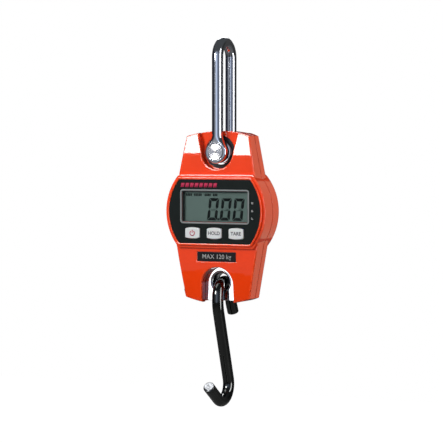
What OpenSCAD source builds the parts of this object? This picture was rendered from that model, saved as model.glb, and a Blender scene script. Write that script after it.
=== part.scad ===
// Hanging crane scale: a load cell between a shackle and a hook, closed in by two housing shells.
// X runs across the front, Y from the front (-) to the back (+), Z up. Sizes are in millimetres.
// The origin is the inner crown of the shackle bow, where the scale is hung.
// Heights named "above" or "below" are counted from the centre of the round display section.

/* [Housing outline] */
// Radius of the round display section
lobe_r = 38.3; // [37:0.1:46]
// Half height of the display section, between its two flats
lobe_half = 25.6; // [24.5:0.1:28]
// Half width of the upper section at its top corners
top_half_w = 24.2; // [23:0.1:28]
// Half width of the upper section where it meets the display section
neck_half_w = 29.4; // [28:0.1:33]
// Height of the top corners above the display centre
top_corner_z = 52.4; // [50:0.1:64]
// Rise of the arched top edge over its corners
top_rise = 3.6; // [2:0.1:5]
// Half width of the lower section where it meets the display section
waist_half_w = 31; // [30:0.1:33]
// Half width of the lower section at its bottom corners
foot_half_w = 24.8; // [24:0.1:30]
// Depth of the bottom corners below the display centre
foot_corner_z = 60.2; // [58:0.1:73]
// Drop of the arched bottom edge under its corners
foot_drop = 4.2; // [2:0.1:5]
// Wall thickness of both shells
wall = 2; // [1.6:0.1:2.4]

/* [Housing depth] */
// Distance from the load cell's centre plane to the front of the display rim
rim_depth = 16.5; // [16:0.1:20]
// Distance to the flat ledge around the rim
ledge_depth = 14.8; // [14:0.1:15.5]
// Distance to the most forward line of the upper and lower faces
face_depth = 12.7; // [12:0.1:13.5]
// Radius of the slow front-to-back curve of the upper faces
upper_face_r = 245; // [200:5:400]
// Radius of the slow front-to-back curve of the lower faces
lower_face_r = 314; // [250:5:400]
// Distance to the back of the round section
back_depth = 13; // [12.5:0.1:15]
// Where the back of the round section starts to taper in
back_taper_y = 8.4; // [7:0.1:10]
// How far the round section tapers in at the back
back_taper = 3.8; // [2:0.1:5]
// Distance of the parting line in front of the centre plane
seam_y = 2; // [1:0.1:3]
// Thickness of the seam seal between the shells
seam_seal_t = 0.6; // [0.4:0.1:1]

/* [Load cell] */
// Thickness of the load cell
cell_t = 11; // [9:0.1:13.2]
// Half width of the load cell
cell_half_w = 13; // [11.5:0.1:14]
// Height of the shackle pin above the display centre
pin_z = 41.3; // [39:0.1:44]
// Metal left above the pin's axis
cell_over_pin = 10.7; // [9:0.1:12]
// Depth of the hook hole below the display centre
hook_hole_z = 49.4; // [47:0.1:54]
// Metal left below the hook hole's centre
cell_under_hook = 12.9; // [12:0.1:14]

/* [Shackle] */
// Diameter of the shackle rod
rod_d = 7.8; // [6.5:0.1:8.9]
// Distance from the inner crown to the pin axis
shackle_reach = 72.4; // [60:0.1:87]
// Space between the load cell and each shackle leg
leg_gap = 1.3; // [1.2:0.1:2.5]
// Outer radius of the eyes
eye_r = 8; // [7.2:0.1:9]
// Diameter of the pin where it carries the load
pin_d = 8; // [7:0.1:9]
// Diameter of the pin's flat head
pin_head_d = 11.2; // [10:0.1:12.5]

/* [Hook] */
// Diameter of the hook's rod
hook_d = 8; // [6.7:0.1:9.6]
// Drop from the upper loop's centre to the lower bend's centre
hook_drop = 62.2; // [52:0.1:75]
// Centreline radius of the lower bend
bend_r = 11; // [10:0.1:14]
// How far the lower bend's centre lies in front of the load cell's centre plane
bend_forward = 4; // [3:0.1:6]
// Rise of the open arm from the horizontal, in degrees
arm_rise = 35; // [25:1:50]
// Straight length of the open arm
arm_length = 17.6; // [14:0.1:22]

/* [Display and keys] */
// Radius of the black display panel
panel_r = 35.2; // [34:0.1:35.4]
// Half height of the black display panel
panel_half = 22.2; // [21.6:0.1:22.4]
// Width of the frame around the liquid crystal window
window_w = 53; // [50:0.1:54]
// Height of the frame around the liquid crystal window
window_h = 23.8; // [22:0.1:24]
// Height of the window's centre above the display centre
window_z = 3.5; // [3:0.1:4]
// Width of a key
key_w = 11.2; // [9.5:0.1:12]
// Height of a key
key_h = 7.9; // [7:0.1:8.2]
// Distance between neighbouring keys
key_pitch = 16.8; // [15.5:0.1:17.5]
// Depth of the keys below the display centre
key_z = 15; // [14.8:0.1:15.6]
// How far the keys stand out of the panel
key_proud = 0.8; // [0.6:0.1:1.2]
// Travel of a key
key_travel = 0.5; // [0.3:0.1:0.6]

/* [Batteries] */
// Diameter of a battery
battery_d = 10.5; // [10:0.1:11]
// Length of a battery
battery_l = 44.5; // [43:0.1:45]
// Thickness of the battery door
door_t = 1.6; // [1.4:0.1:2]

/* [Clearances] */
// Radial clearance of a running fit
running = 0.05; // [0.02:0.01:0.1]
// Clearance of pieces seated in each other
seat = 0.05; // [0.02:0.01:0.1]
// Clearance around the keys and the battery door
loose = 0.2; // [0.15:0.05:0.3]

/* [Hidden] */
$fn = 64;

// Colours
paint = "orangered";
steel = "silver";
dark_steel = "dimgray";
black = "#1c1c1c";
white = "whitesmoke";

// Long enough to cut through everything
far = 200;

// Display centre below the origin
body_drop = shackle_reach + pin_z;

// Load cell and the pieces on its pin
cell_y = cell_t / 2;
cell_top_z = pin_z + cell_over_pin;
cell_low_z = -hook_hole_z - cell_under_hook;
rod_r = rod_d / 2;
bow_r = cell_y + leg_gap + rod_r;
leg_in_y = bow_r - rod_r;
leg_out_y = bow_r + rod_r;
pin_r = pin_d / 2;
pin_head_r = pin_head_d / 2;
pin_head_t = 2.2;
eye_edge = 1;
flare_low = 3;
flare_high = 12;
clip_t = 0.8;
clip_y = leg_out_y + 0.1;
clip_groove_r = pin_r - 0.6;
pin_end_y = clip_y + clip_t + 0.7;
spacer_gap = 0.1;
spacer_r = eye_r - 0.5;

// Recess for the shackle's eyes
notch_r = eye_r + 4;
notch_top_half = notch_r + 3.6;
floor_y = leg_in_y - 0.3;
floor_t = min(1.1, leg_gap - 0.5);
eye_hole_r = notch_r - 0.6;
eye_seal_in_r = eye_r + 0.6;
notch_wall_r = notch_r + wall;

// Slot for the hook
slot_r = 12;
slot_z = -hook_hole_z - 1.5;
slot_in_y = cell_y + 0.3;
slot_cell_gap = 0.5;

// Housing
top_z = top_corner_z + top_rise;
foot_z = -foot_corner_z - foot_drop;
upper_face_z = 20;
lower_face_z = -26;
rim_in = 1.9;
front_joint_y = -seam_y - seam_seal_t / 2;
rear_joint_y = -seam_y + seam_seal_t / 2;
upper_slope = (neck_half_w - top_half_w) / (top_corner_z - lobe_half);
lower_slope = (waist_half_w - foot_half_w) / (foot_corner_z - lobe_half);
upper_lean = atan(upper_slope);
lower_lean = atan(lower_slope);
rear_chamfer_y = 5;
rear_chamfer_angle = 52;

// Display stack, counted forward from the centre plane
panel_front = rim_depth - 0.7;
panel_t = 0.8;
panel_seat = panel_front - panel_t;
front_wall_in = panel_seat - wall;
frame_line = 1;
frame_proud = 0.15;
frame_corner = 2;
opening_lip = 0.35;
glass_front = front_wall_in - 0.4;
glass_t = 1.8;
light_t = 1.6;
board_front = glass_front - glass_t - light_t;
board_t = 1.2;
board_back = board_front - board_t;
gauge_cover_t = 0.7;
chip_t = min(1.2, board_back - cell_y - gauge_cover_t - 0.2);
glass_w = window_w + 3;
glass_h = window_h + 0.6;
holder_wall = 1;
light_short = 2.6;

// Keys
key_front = panel_front + key_proud;
key_flange = 0.6;
key_flange_t = 0.7;
key_flange_front = front_wall_in - seat;
key_arc_drop = 0.8;
switch_w = 6;
plunger_r = 1.1;
plunger_gap = 0.15;
plunger_in = 0.55;
plunger_front = key_flange_front - key_flange_t;
switch_front = plunger_front - key_travel - 0.2;

// Batteries and their tray
tray_floor_in = cell_y + 0.5;
tray_floor_t = 1;
tray_wall = 1.4;
battery_gap = 0.3;
battery_pitch = battery_d + battery_gap;
battery_y = tray_floor_in + tray_floor_t + 0.2 + battery_d / 2;
end_space = 2.8;
tray_half_w = battery_l / 2 + end_space + tray_wall;
tray_half_h = battery_pitch + battery_d / 2 + battery_gap + tray_wall;
tray_corner = 3;
door_seat_y = battery_y + battery_d / 2 + 0.2;
door_back_y = door_seat_y + door_t;
door_lip = 1.2;
screw_sink = 2;
contact_t = 0.4;
tab_w = 3;
tab_z = battery_pitch;
tab_in_y = tray_floor_in - 0.6;
battery_lead_r = 0.7;

// Screws
drive_w = 3;
drive_t = 0.7;
drive_depth = 0.9;
screw_r = 1.4;
screw_head_r = 2.6;
screw_head_t = 1.6;
boss_r = 3.1;
boss_in = 5;
cell_screw_r = 1.5;
cell_screw_x = 7.5;
cell_screw_z = lobe_half - 1.8;
door_screw_z = tray_half_h + 3.4;
door_screw_r = 1.25;
board_screw_r = 1;
board_screw_head_r = 2;
board_screw_head_t = 1.1;
board_boss_r = 2.4;
board_hole_past = 0.4;

// Hook
wire_r = hook_d / 2;
loop_gap = 0.9;
loop_r = cell_y + loop_gap + wire_r;
loop_in_r = loop_r - wire_r;
bush_r = wire_r + 3.8;
bush_bore_r = wire_r + 2;
bush_chamfer = 1.4;
hang_gap = 0.35;
lip_at_bore = sqrt(pow(loop_in_r, 2) - pow(cell_y - bush_chamfer, 2)) + bush_bore_r;
lip_at_face = sqrt(pow(loop_in_r, 2) - pow(cell_y, 2)) + bush_bore_r + bush_chamfer;
loop_z = -hook_hole_z - min(lip_at_bore, lip_at_face) + hang_gap;
bend_y = -bend_forward;
bend_z = loop_z - hook_drop;
neck_r = 30;
neck_drop = 2;
neck_y = neck_r - loop_r;
neck_z = loop_z - neck_drop;
// The shank touches the neck's bend on one side and the lower bend on the other
bends_y = neck_y - bend_y;
bends_z = neck_z - bend_z;
bends_r = neck_r + bend_r;
shank_l = sqrt(pow(bends_y, 2) + pow(bends_z, 2) - pow(bends_r, 2));
shank_lean = atan2(bends_z, bends_y) - atan2(shank_l, bends_r);
tail_bend_r = 14;
tail_lean = 25;
tail_straight = 1;
tail_l = 6;
joint_lap = 0.1;
joint_step = 0.02;

// Wires inside the housing
kink = 1.08;

// ---- Frames and plain shapes ----

// Moves pieces drawn around the display centre to their place under the shackle
module at_body() {
    translate([0, 0, -body_drop]) children();
}

// Extrudes a front-view outline from y0 back to y1
module slab(y0, y1) {
    translate([0, y1, 0]) rotate([90, 0, 0]) linear_extrude(height = y1 - y0) children();
}

// Cylinder along Y at x, z
module rod_y(r, y0, y1, x = 0, z = 0) {
    translate([x, y1, z]) rotate([90, 0, 0]) cylinder(r = r, h = y1 - y0);
}

// Cone along Y at x, z, with radius r0 at y0 and r1 at y1
module cone_y(r0, r1, y0, y1, x = 0, z = 0) {
    translate([x, y0, z]) rotate([-90, 0, 0]) cylinder(r1 = r0, r2 = r1, h = y1 - y0);
}

// Rectangle with round corners
module round_box(w, h, r) {
    square([w - 2 * r, h], center = true);
    square([w, h - 2 * r], center = true);
    for (x = [-1, 1], z = [-1, 1]) {
        translate([x * (w / 2 - r), z * (h / 2 - r)]) circle(r = r);
    }
}

// Circle cut by two flats above and below
module flat_circle(r, half) {
    intersection() {
        circle(r = r);
        square([3 * r, 2 * half], center = true);
    }
}

// Turns a shape drawn in X and Y into the side plane, so that X becomes Y and Y becomes Z
module side_plane() {
    rotate([90, 0, 90]) children();
}

// Bent rod in the side plane around y, z, between two angles counted from +Y towards +Z
module bend(y, z, radius, rod, from, to) {
    side_plane() translate([y, z, 0]) rotate([0, 0, from])
        rotate_extrude(angle = to - from) translate([radius, 0]) circle(r = rod);
}

// Straight rod in the side plane from y, z in a direction
module straight(y, z, direction, length, rod) {
    side_plane() translate([y, z, 0]) rotate([0, 0, direction]) rotate([0, 90, 0])
        cylinder(r = rod, h = length);
}

// Round wire through a list of points, a little thicker at its kinks
module wire(points, r) {
    for (i = [0 : len(points) - 2]) {
        run = points[i + 1] - points[i];
        translate(points[i]) rotate([0, acos(run.z / norm(run)), atan2(run.y, run.x)])
            cylinder(r = r, h = norm(run));
    }
    for (i = [1 : len(points) - 2]) {
        translate(points[i]) sphere(r = r * kink);
    }
}

// ---- Housing form ----

function arc_radius(half, rise) = (half * half + rise * rise) / (2 * rise);

// Front view of the upper section, moved in by inset
module upper_outline(inset) {
    side = inset / cos(upper_lean);
    r = arc_radius(top_half_w, top_rise);
    intersection() {
        polygon([
            for (s = [1, -1]) [s * (top_half_w - upper_slope * top_rise - side), top_z],
            for (s = [-1, 1]) [s * (neck_half_w + upper_slope * lobe_half - side), 0]
        ]);
        translate([0, top_z - r]) circle(r = r - inset);
    }
}

// Front view of the lower section, moved in by inset
module lower_outline(inset) {
    side = inset / cos(lower_lean);
    r = arc_radius(foot_half_w, foot_drop);
    intersection() {
        polygon([
            for (s = [1, -1]) [s * (waist_half_w + lower_slope * lobe_half - side), 0],
            for (s = [-1, 1]) [s * (foot_half_w - lower_slope * foot_drop - side), foot_z]
        ]);
        translate([0, foot_z + r]) circle(r = r - inset);
    }
}

// Whole front view, moved in by inset
module outline(inset) {
    upper_outline(inset);
    lower_outline(inset);
    flat_circle(lobe_r - inset, lobe_half - inset);
}

// Space between two slow curves, one for the front face and one for the back face
module face_lens(r, z, inset) {
    intersection_for (s = [-1, 1]) {
        translate([0, s * (r - face_depth), z]) rotate([0, 90, 0])
            cylinder(r = r - inset, h = far, center = true);
    }
}

// Half space behind a slanted plane that takes the rear side edge off
module rear_edge_cut(x, lean, inset) {
    translate([x, rear_chamfer_y, 0]) rotate([0, lean, 0]) rotate([0, 0, rear_chamfer_angle])
        translate([-inset, -far / 2, -far / 2]) cube([far / 2, far, far]);
}

module upper_section(inset) {
    difference() {
        intersection() {
            slab(-rim_depth, rim_depth) upper_outline(inset);
            face_lens(upper_face_r, upper_face_z, inset);
        }
        for (m = [0, 1]) {
            mirror([m, 0, 0]) rear_edge_cut(neck_half_w + upper_slope * lobe_half, -upper_lean, inset);
        }
    }
}

module lower_section(inset) {
    difference() {
        intersection() {
            slab(-rim_depth, rim_depth) lower_outline(inset);
            face_lens(lower_face_r, lower_face_z, inset);
        }
        for (m = [0, 1]) {
            mirror([m, 0, 0]) rear_edge_cut(waist_half_w + lower_slope * lobe_half, lower_lean, inset);
        }
    }
}

// Back half of the round section, with its tapered edge
module lobe_back(inset) {
    intersection() {
        union() {
            rod_y(lobe_r - inset, -seam_y - 1, back_taper_y - inset / 2);
            cone_y(lobe_r - inset, lobe_r - back_taper - inset, back_taper_y - inset / 2, back_depth - inset);
        }
        cube([3 * lobe_r, far, 2 * (lobe_half - inset)], center = true);
    }
}

module housing_outside() {
    upper_section(0);
    lower_section(0);
    slab(-ledge_depth, 0) flat_circle(lobe_r, lobe_half);
    slab(-rim_depth, -ledge_depth) flat_circle(lobe_r - rim_in, lobe_half - rim_in);
    lobe_back(0);
}

module housing_inside() {
    upper_section(wall);
    lower_section(wall);
    slab(-front_wall_in, 0) flat_circle(lobe_r - wall, lobe_half - wall);
    lobe_back(wall);
}

// Front view of the recess for a shackle eye
module notch_outline(grow) {
    translate([0, pin_z]) circle(r = notch_r + grow);
    polygon([
        [-notch_r - grow, pin_z], [notch_r + grow, pin_z],
        [notch_top_half + grow, top_z + 1], [-notch_top_half - grow, top_z + 1]
    ]);
}

// Front view of the slot for the hook
module slot_outline(grow) {
    translate([0, slot_z]) circle(r = slot_r + grow);
    translate([-slot_r - grow, foot_z - 1]) square([2 * (slot_r + grow), slot_z - foot_z + 1]);
}

// Wall around the recess for a shackle eye, with its floor, from y0 to y1
module recess_walls(y0, y1) {
    intersection() {
        slab(y0, y1) notch_outline(wall);
        upper_section(wall / 2);
    }
}

// Wall around the slot for the hook, from y0 to y1
module slot_walls(y0, y1) {
    intersection() {
        slab(y0, y1) slot_outline(wall);
        lower_section(wall / 2);
    }
}

// Places a child at each of the four shell screws
module at_shell_screws() {
    for (s = [-1, 1]) {
        translate([s * (top_half_w - boss_in), 0, top_corner_z - boss_in]) children();
        translate([s * (foot_half_w - boss_in), 0, -foot_corner_z + boss_in]) children();
    }
}

// Room for the load cell's lower end, which must move free of the shells
module cell_room() {
    gap = slot_cell_gap;
    translate([-cell_half_w - gap, -slot_in_y, foot_z - 1])
        cube([2 * (cell_half_w + gap), 2 * slot_in_y, slot_z - foot_z]);
}

// Depth of the curved lower face at a height
function lower_face_y(z) =
    face_depth - lower_face_r + sqrt(pow(lower_face_r, 2) - pow(z - lower_face_z, 2));

// ---- Shells ----

label_w = 29.6;
label_h = 6.6;
label_t = 0.3;
label_z = -lobe_half - 5.9;
label_seat = lower_face_y(label_z) - 0.6;

module board_screw_places() {
    for (s = [-1, 1]) {
        translate([s * (window_w / 2 + 0.5), 0, -key_z - 2.5]) children();
        translate([s * window_w / 2 * 0.8, 0, lobe_half - 5.8]) children();
    }
}

module key_places() {
    for (i = [-1 : 1]) {
        translate([i * key_pitch, 0, -key_z]) children();
    }
}

// Front view of a key, grown all round
module key_outline(grow) {
    r = arc_radius(key_w / 2, key_arc_drop);
    intersection() {
        square([key_w + 2 * grow, key_h + 2 * grow], center = true);
        translate([0, key_h / 2 - r]) circle(r = r + grow);
        translate([0, r - key_h / 2]) circle(r = r + grow);
    }
}

module front_housing() color(paint) at_body() {
    difference() {
        union() {
            difference() {
                housing_outside();
                housing_inside();
            }
            recess_walls(-far / 2, -floor_y + floor_t);
            slot_walls(-far / 2, -slot_in_y);
            intersection() {
                at_shell_screws() rod_y(boss_r, -far / 4, front_joint_y);
                housing_outside();
            }
            board_screw_places() rod_y(board_boss_r, -front_wall_in - wall / 2, -board_front);
        }
        translate([-far / 2, front_joint_y, -far / 2]) cube(far);
        slab(-far / 2, -floor_y) notch_outline(0);
        rod_y(eye_hole_r, -far / 4, 0, z = pin_z);
        slab(-far / 2, 0) slot_outline(0);
        cell_room();
        slab(-far / 2, -panel_seat) flat_circle(panel_r + seat, panel_half + seat);
        translate([0, 0, window_z]) slab(-far / 2, 0)
            square([window_w - 2 * (frame_line + opening_lip), window_h - 2 * (frame_line + opening_lip)],
                   center = true);
        key_places() slab(-far / 2, 0) key_outline(loose);
        at_shell_screws() rod_y(screw_r + seat, -face_depth + 2 * wall, 0);
        board_screw_places() rod_y(board_screw_r + seat, -front_wall_in - board_hole_past, 0);
        translate([0, 0, label_z]) slab(-far / 2, -label_seat)
            square([label_w + 2 * loose, label_h + 2 * loose], center = true);
    }
}

module rear_housing() color(paint) at_body() {
    difference() {
        union() {
            difference() {
                housing_outside();
                housing_inside();
            }
            recess_walls(floor_y - floor_t, far / 2);
            slot_walls(slot_in_y, far / 2);
            intersection() {
                union() {
                    at_shell_screws() rod_y(boss_r, rear_joint_y, far / 4);
                    for (s = [-1, 1]) {
                        rod_y(boss_r, tray_floor_in, far / 4, s * cell_screw_x, cell_screw_z);
                    }
                    rod_y(boss_r, cell_y + 1, far / 4, 0, -door_screw_z);
                }
                housing_outside();
            }
            slab(tray_floor_in, door_seat_y) round_box(2 * tray_half_w, 2 * tray_half_h, tray_corner);
        }
        translate([-far / 2, rear_joint_y - far, -far / 2]) cube(far);
        slab(floor_y, far / 2) notch_outline(0);
        rod_y(eye_hole_r, 0, far / 4, z = pin_z);
        slab(0, far / 2) slot_outline(0);
        cell_room();
        slab(tray_floor_in + tray_floor_t, far / 2)
            round_box(2 * (tray_half_w - tray_wall), 2 * (tray_half_h - tray_wall), tray_corner - tray_wall);
        for (s = [-1, 1]) {
            translate([s * (tray_half_w - tray_wall - contact_t / 2 - seat), cell_y + tray_floor_t, s * tab_z])
                cube([contact_t + 2 * seat, 2 * tray_floor_t, tab_w + 2 * seat], center = true);
            rod_y(cell_screw_r + seat, 0, far / 4, s * cell_screw_x, cell_screw_z);
            rod_y(screw_head_r + loose, back_depth - 2 * wall, far / 4, s * cell_screw_x, cell_screw_z);
        }
        rod_y(door_screw_r + seat, cell_y + 2.5, far / 4, 0, -door_screw_z);
        at_shell_screws() rod_y(screw_r + seat, -seam_y - 1, far / 4);
        at_shell_screws() rod_y(screw_head_r + loose, face_depth - 3 * wall, far / 4);
        translate([0, 0, label_z]) slab(label_seat, far / 2)
            square([label_w + 2 * loose, label_h + 2 * loose], center = true);
    }
}

module seam_seal() color(black) at_body() {
    in = 0.4;
    difference() {
        slab(front_joint_y, rear_joint_y) outline(in);
        slab(-far / 2, far / 2) outline(wall - in / 2);
        cell_room();
        at_shell_screws() rod_y(screw_head_r, -far / 4, far / 4);
        slab(-far / 2, far / 2) translate([0, foot_z - 1 + slot_r / 2])
            square([2 * (cell_half_w + slot_cell_gap), slot_r], center = true);
    }
}

module eye_seal(side) {
    difference() {
        rod_y(eye_hole_r - seat, min(side * floor_y, side * (floor_y - floor_t)),
              max(side * floor_y, side * (floor_y - floor_t)), z = pin_z);
        rod_y(eye_seal_in_r, -far / 4, far / 4, z = pin_z);
    }
}

module front_eye_seal() color(black) at_body() {
    eye_seal(-1);
}

module rear_eye_seal() color(black) at_body() {
    eye_seal(1);
}

// Screw driven from the back, with its tip at tip_y and the underside of its cross-recessed head at head_y
module rear_screw(r, tip_y, head_y) {
    difference() {
        union() {
            rod_y(r, tip_y, head_y + joint_lap);
            rod_y(screw_head_r, head_y, head_y + screw_head_t);
        }
        slab(head_y + screw_head_t - drive_depth, far / 4) {
            square([drive_w, drive_t], center = true);
            square([drive_t, drive_w], center = true);
        }
    }
}

module housing_screws() color(dark_steel) at_body() {
    at_shell_screws() rear_screw(screw_r, -face_depth + 2 * wall + 0.5, face_depth - 3 * wall);
}

// ---- Display ----

module display_panel() color(black) at_body() {
    difference() {
        slab(-panel_front, -panel_seat) flat_circle(panel_r, panel_half);
        translate([0, 0, window_z]) slab(-far / 2, 0)
            round_box(window_w + 2 * seat, window_h + 2 * seat, frame_corner + seat);
        key_places() slab(-far / 2, 0) key_outline(loose);
    }
}

module window_frame() color(steel) at_body() translate([0, 0, window_z]) {
    difference() {
        slab(-panel_front - frame_proud, -panel_seat) round_box(window_w, window_h, frame_corner);
        slab(-far / 2, 0) round_box(window_w - 2 * frame_line, window_h - 2 * frame_line,
                                    frame_corner - frame_line);
    }
}

module display_window() color("lightgray", 0.4) at_body() translate([0, 0, window_z]) {
    slab(-panel_front, -panel_seat) round_box(window_w - 2 * (frame_line + seat),
        window_h - 2 * (frame_line + seat), frame_corner - frame_line - seat);
}

module lcd_holder() color(black) at_body() translate([0, 0, window_z]) {
    difference() {
        slab(-front_wall_in + seat, -board_front)
            square([glass_w + 2 * holder_wall, glass_h + 2 * holder_wall], center = true);
        slab(-far / 2, 0) square([glass_w + 2 * seat, glass_h + 2 * seat], center = true);
    }
}

module lcd_glass() color("darkseagreen") at_body() translate([0, 0, window_z]) {
    slab(-glass_front, -glass_front + glass_t) square([glass_w, glass_h], center = true);
}

module lcd_backlight() color("palegreen") at_body() translate([0, 0, window_z + light_short / 2]) {
    slab(-glass_front + glass_t, -board_front) square([glass_w, glass_h - light_short], center = true);
}

module zebra_strip() color("pink") at_body() {
    translate([0, 0, window_z - glass_h / 2 + 1])
        slab(-glass_front + glass_t, -board_front) square([glass_w - 4, 2], center = true);
}

// ---- Electronics ----

board_half_w = window_w / 2 + 3;
board_top = lobe_half - 3.4;
board_low = key_z + 6.5;

module main_board() color("darkgreen") at_body() {
    difference() {
        slab(-board_front, -board_back) intersection() {
            translate([-board_half_w, -board_low]) square([2 * board_half_w, board_low + board_top]);
            circle(r = lobe_r - wall - 0.8);
        }
        board_screw_places() rod_y(board_screw_r + 2 * seat, -far / 4, 0);
    }
}

// Place across, height, width and depth of each chip
CHIPS = [[0, 8, 10, 10], [-16, 2, 5, 8], [17, -10, 6, 5], [-16, -12, 4, 3], [14, 12, 7, 3]];

module board_chips() color(black) at_body() {
    for (chip = CHIPS) {
        translate([chip[0], 0, chip[1]])
            slab(-board_back, -board_back + chip_t) square([chip[2], chip[3]], center = true);
    }
}

module board_screws() color(steel) at_body() {
    board_screw_places() {
        difference() {
            union() {
                rod_y(board_screw_r, -front_wall_in, -board_back + joint_lap);
                rod_y(board_screw_head_r, -board_back, -board_back + board_screw_head_t);
            }
            slab(-board_back + board_screw_head_t / 2, 0)
                square([2.2, board_screw_head_t / 2], center = true);
        }
    }
}

module switch_bodies() color(dark_steel) at_body() {
    key_places() {
        difference() {
            slab(-switch_front, -board_front) square(switch_w, center = true);
            rod_y(plunger_r + plunger_gap, -far / 4, -switch_front + plunger_in + key_travel + 0.1);
        }
    }
}

// One key with its hidden flange, at key place i
module key(i) {
    translate([i * key_pitch, 0, -key_z]) {
        slab(-key_front, -key_flange_front) key_outline(0);
        slab(-key_flange_front, -plunger_front) key_outline(key_flange);
    }
}

// The push rod of the switch under key place i
module plunger(i) {
    rod_y(plunger_r, -plunger_front, -switch_front + plunger_in, i * key_pitch, -key_z);
}

module power_key() color(white) at_body() {
    key(-1);
}

module hold_key() color(white) at_body() {
    key(0);
}

module tare_key() color(white) at_body() {
    key(1);
}

module power_plunger() color(steel) at_body() {
    plunger(-1);
}

module hold_plunger() color(steel) at_body() {
    plunger(0);
}

module tare_plunger() color(steel) at_body() {
    plunger(1);
}

// ---- Load cell ----

flexure_x = 5;
flexure_r = 5;
flexure_slot = 3;
cut_z = 13;
cut_w = 2;
cut_past = 7;
cell_corner = 6;

module load_cell() color(steel) at_body() {
    difference() {
        slab(-cell_y, cell_y) {
            translate([-cell_half_w, cell_low_z])
                square([2 * cell_half_w, cell_top_z - cell_low_z - cell_corner]);
            translate([-cell_half_w + cell_corner, cell_low_z])
                square([2 * (cell_half_w - cell_corner), cell_top_z - cell_low_z]);
            for (s = [-1, 1]) {
                translate([s * (cell_half_w - cell_corner), cell_top_z - cell_corner]) circle(r = cell_corner);
            }
        }
        rod_y(pin_r + running, -far / 4, far / 4, z = pin_z);
        rod_y(bush_r + running, -far / 4, far / 4, z = -hook_hole_z);
        for (s = [-1, 1]) {
            rod_y(flexure_r, -far / 4, far / 4, s * flexure_x);
            translate([s * (cut_past - far / 8), 0, -s * cut_z]) cube([far / 4, far, cut_w], center = true);
            rod_y(cell_screw_r + seat, 0, far / 4, s * cell_screw_x, cell_screw_z);
        }
        cube([2 * flexure_x, far, flexure_slot], center = true);
    }
}

gauge_t = 0.12;
gauge_w = 2.6;
gauge_h = 5;
gauge_edge = 1.7;
gauge_cover_h = 20;

// Front view of the four gauges, grown all round
module gauges(grow) {
    for (x = [-1, 1], z = [-1, 1]) {
        translate([x * (cell_half_w - gauge_edge), z * (gauge_h - 0.5)])
            square([gauge_w + 2 * grow, gauge_h + 2 * grow], center = true);
    }
}

module strain_gauges() color("goldenrod") at_body() {
    slab(-cell_y - gauge_t, -cell_y) gauges(0);
}

module gauge_cover() color(white) at_body() {
    difference() {
        slab(-cell_y - gauge_cover_t, -cell_y) round_box(2 * cell_half_w - 0.4, gauge_cover_h, 2);
        slab(-cell_y - gauge_t - seat, 0) gauges(seat);
    }
}

module cell_screws() color(dark_steel) at_body() {
    for (s = [-1, 1]) {
        translate([s * cell_screw_x, 0, cell_screw_z]) rear_screw(cell_screw_r, 1, back_depth - 2 * wall);
    }
}

lead_r = 0.9;
lead_side = cell_half_w + 1.5 + lead_r;

module cell_lead() color("red") at_body() {
    exit_z = -6;
    board_z = -2;
    wire([
        [cell_half_w + seat, -2, exit_z],
        [lead_side, -2, exit_z],
        [lead_side + 3, -4, board_z],
        [lead_side + 3, -board_back + seat, board_z]
    ], lead_r);
}

// ---- Batteries ----

module battery_cells() color("slategray") at_body() {
    nub = 1;
    for (i = [-1 : 1]) {
        side = i == 0 ? -1 : 1;
        translate([0, battery_y, i * battery_pitch]) rotate([0, side * 90, 0]) {
            translate([0, 0, -battery_l / 2]) cylinder(d = battery_d, h = battery_l - nub);
            translate([0, 0, battery_l / 2 - nub - 0.1]) cylinder(r = 1.9, h = nub + 0.1);
        }
    }
}

// Coil springs are drawn as their hollow cone
module battery_springs() color(steel) at_body() {
    for (i = [-1 : 1]) {
        side = i == 0 ? -1 : 1;
        space = end_space - contact_t - 2 * seat;
        translate([-side * battery_l / 2, battery_y, i * battery_pitch]) rotate([0, -side * 90, 0]) {
            difference() {
                cylinder(r1 = 2.4, r2 = 3.6, h = space);
                translate([0, 0, -1]) cylinder(r1 = 1, r2 = 2.6, h = space + 2);
            }
        }
    }
}

module battery_plates() color(steel) at_body() {
    x0 = tray_half_w - tray_wall - contact_t - seat;
    inside_h = 2 * (tray_half_h - tray_corner - seat);
    for (s = [-1, 1]) {
        mirror([s < 0 ? 1 : 0, 0, 0]) {
            translate([x0, tray_floor_in + tray_floor_t + 0.2, -inside_h / 2])
                cube([contact_t, battery_d - 1, inside_h]);
            translate([x0, tab_in_y, s * tab_z - tab_w / 2])
                cube([contact_t, tray_floor_t + 1.5, tab_w]);
        }
    }
}

module battery_leads() color("firebrick") at_body() {
    x0 = tray_half_w - tray_wall - contact_t / 2 - seat;
    for (s = [-1, 1]) {
        rod_y(battery_lead_r, -board_back, tab_in_y, s * x0, s * tab_z);
    }
}

// Width of the ear that takes the door's screw
door_ear_w = 9;

module battery_door() color(paint) at_body() {
    lip_w = 2 * (tray_half_w - tray_wall - loose);
    lip_h = 2 * (tray_half_h - tray_wall - loose);
    difference() {
        union() {
            slab(door_seat_y + seat, door_back_y) round_box(2 * tray_half_w, 2 * tray_half_h, tray_corner);
            slab(back_depth + seat, door_back_y)
                translate([0, -tray_half_h - door_ear_w / 2 - loose / 2])
                square([door_ear_w, door_ear_w - loose], center = true);
            slab(door_seat_y + seat, door_back_y)
                translate([0, -tray_half_h]) square([door_ear_w, 2], center = true);
            difference() {
                slab(door_seat_y - 0.15, door_seat_y + 0.1 + seat) round_box(lip_w, lip_h, tray_corner - tray_wall);
                slab(-far / 4, far / 4) round_box(lip_w - 2 * door_lip, lip_h - 2 * door_lip, 0.5);
            }
        }
        rod_y(door_screw_r + seat, 0, far / 4, 0, -door_screw_z);
        rod_y(screw_head_r + loose, door_back_y - screw_sink, far / 4, 0, -door_screw_z);
    }
}

module door_screw() color(dark_steel) at_body() {
    translate([0, 0, -door_screw_z])
        rear_screw(door_screw_r, back_depth - 2.5, door_back_y - screw_sink);
}

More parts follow.
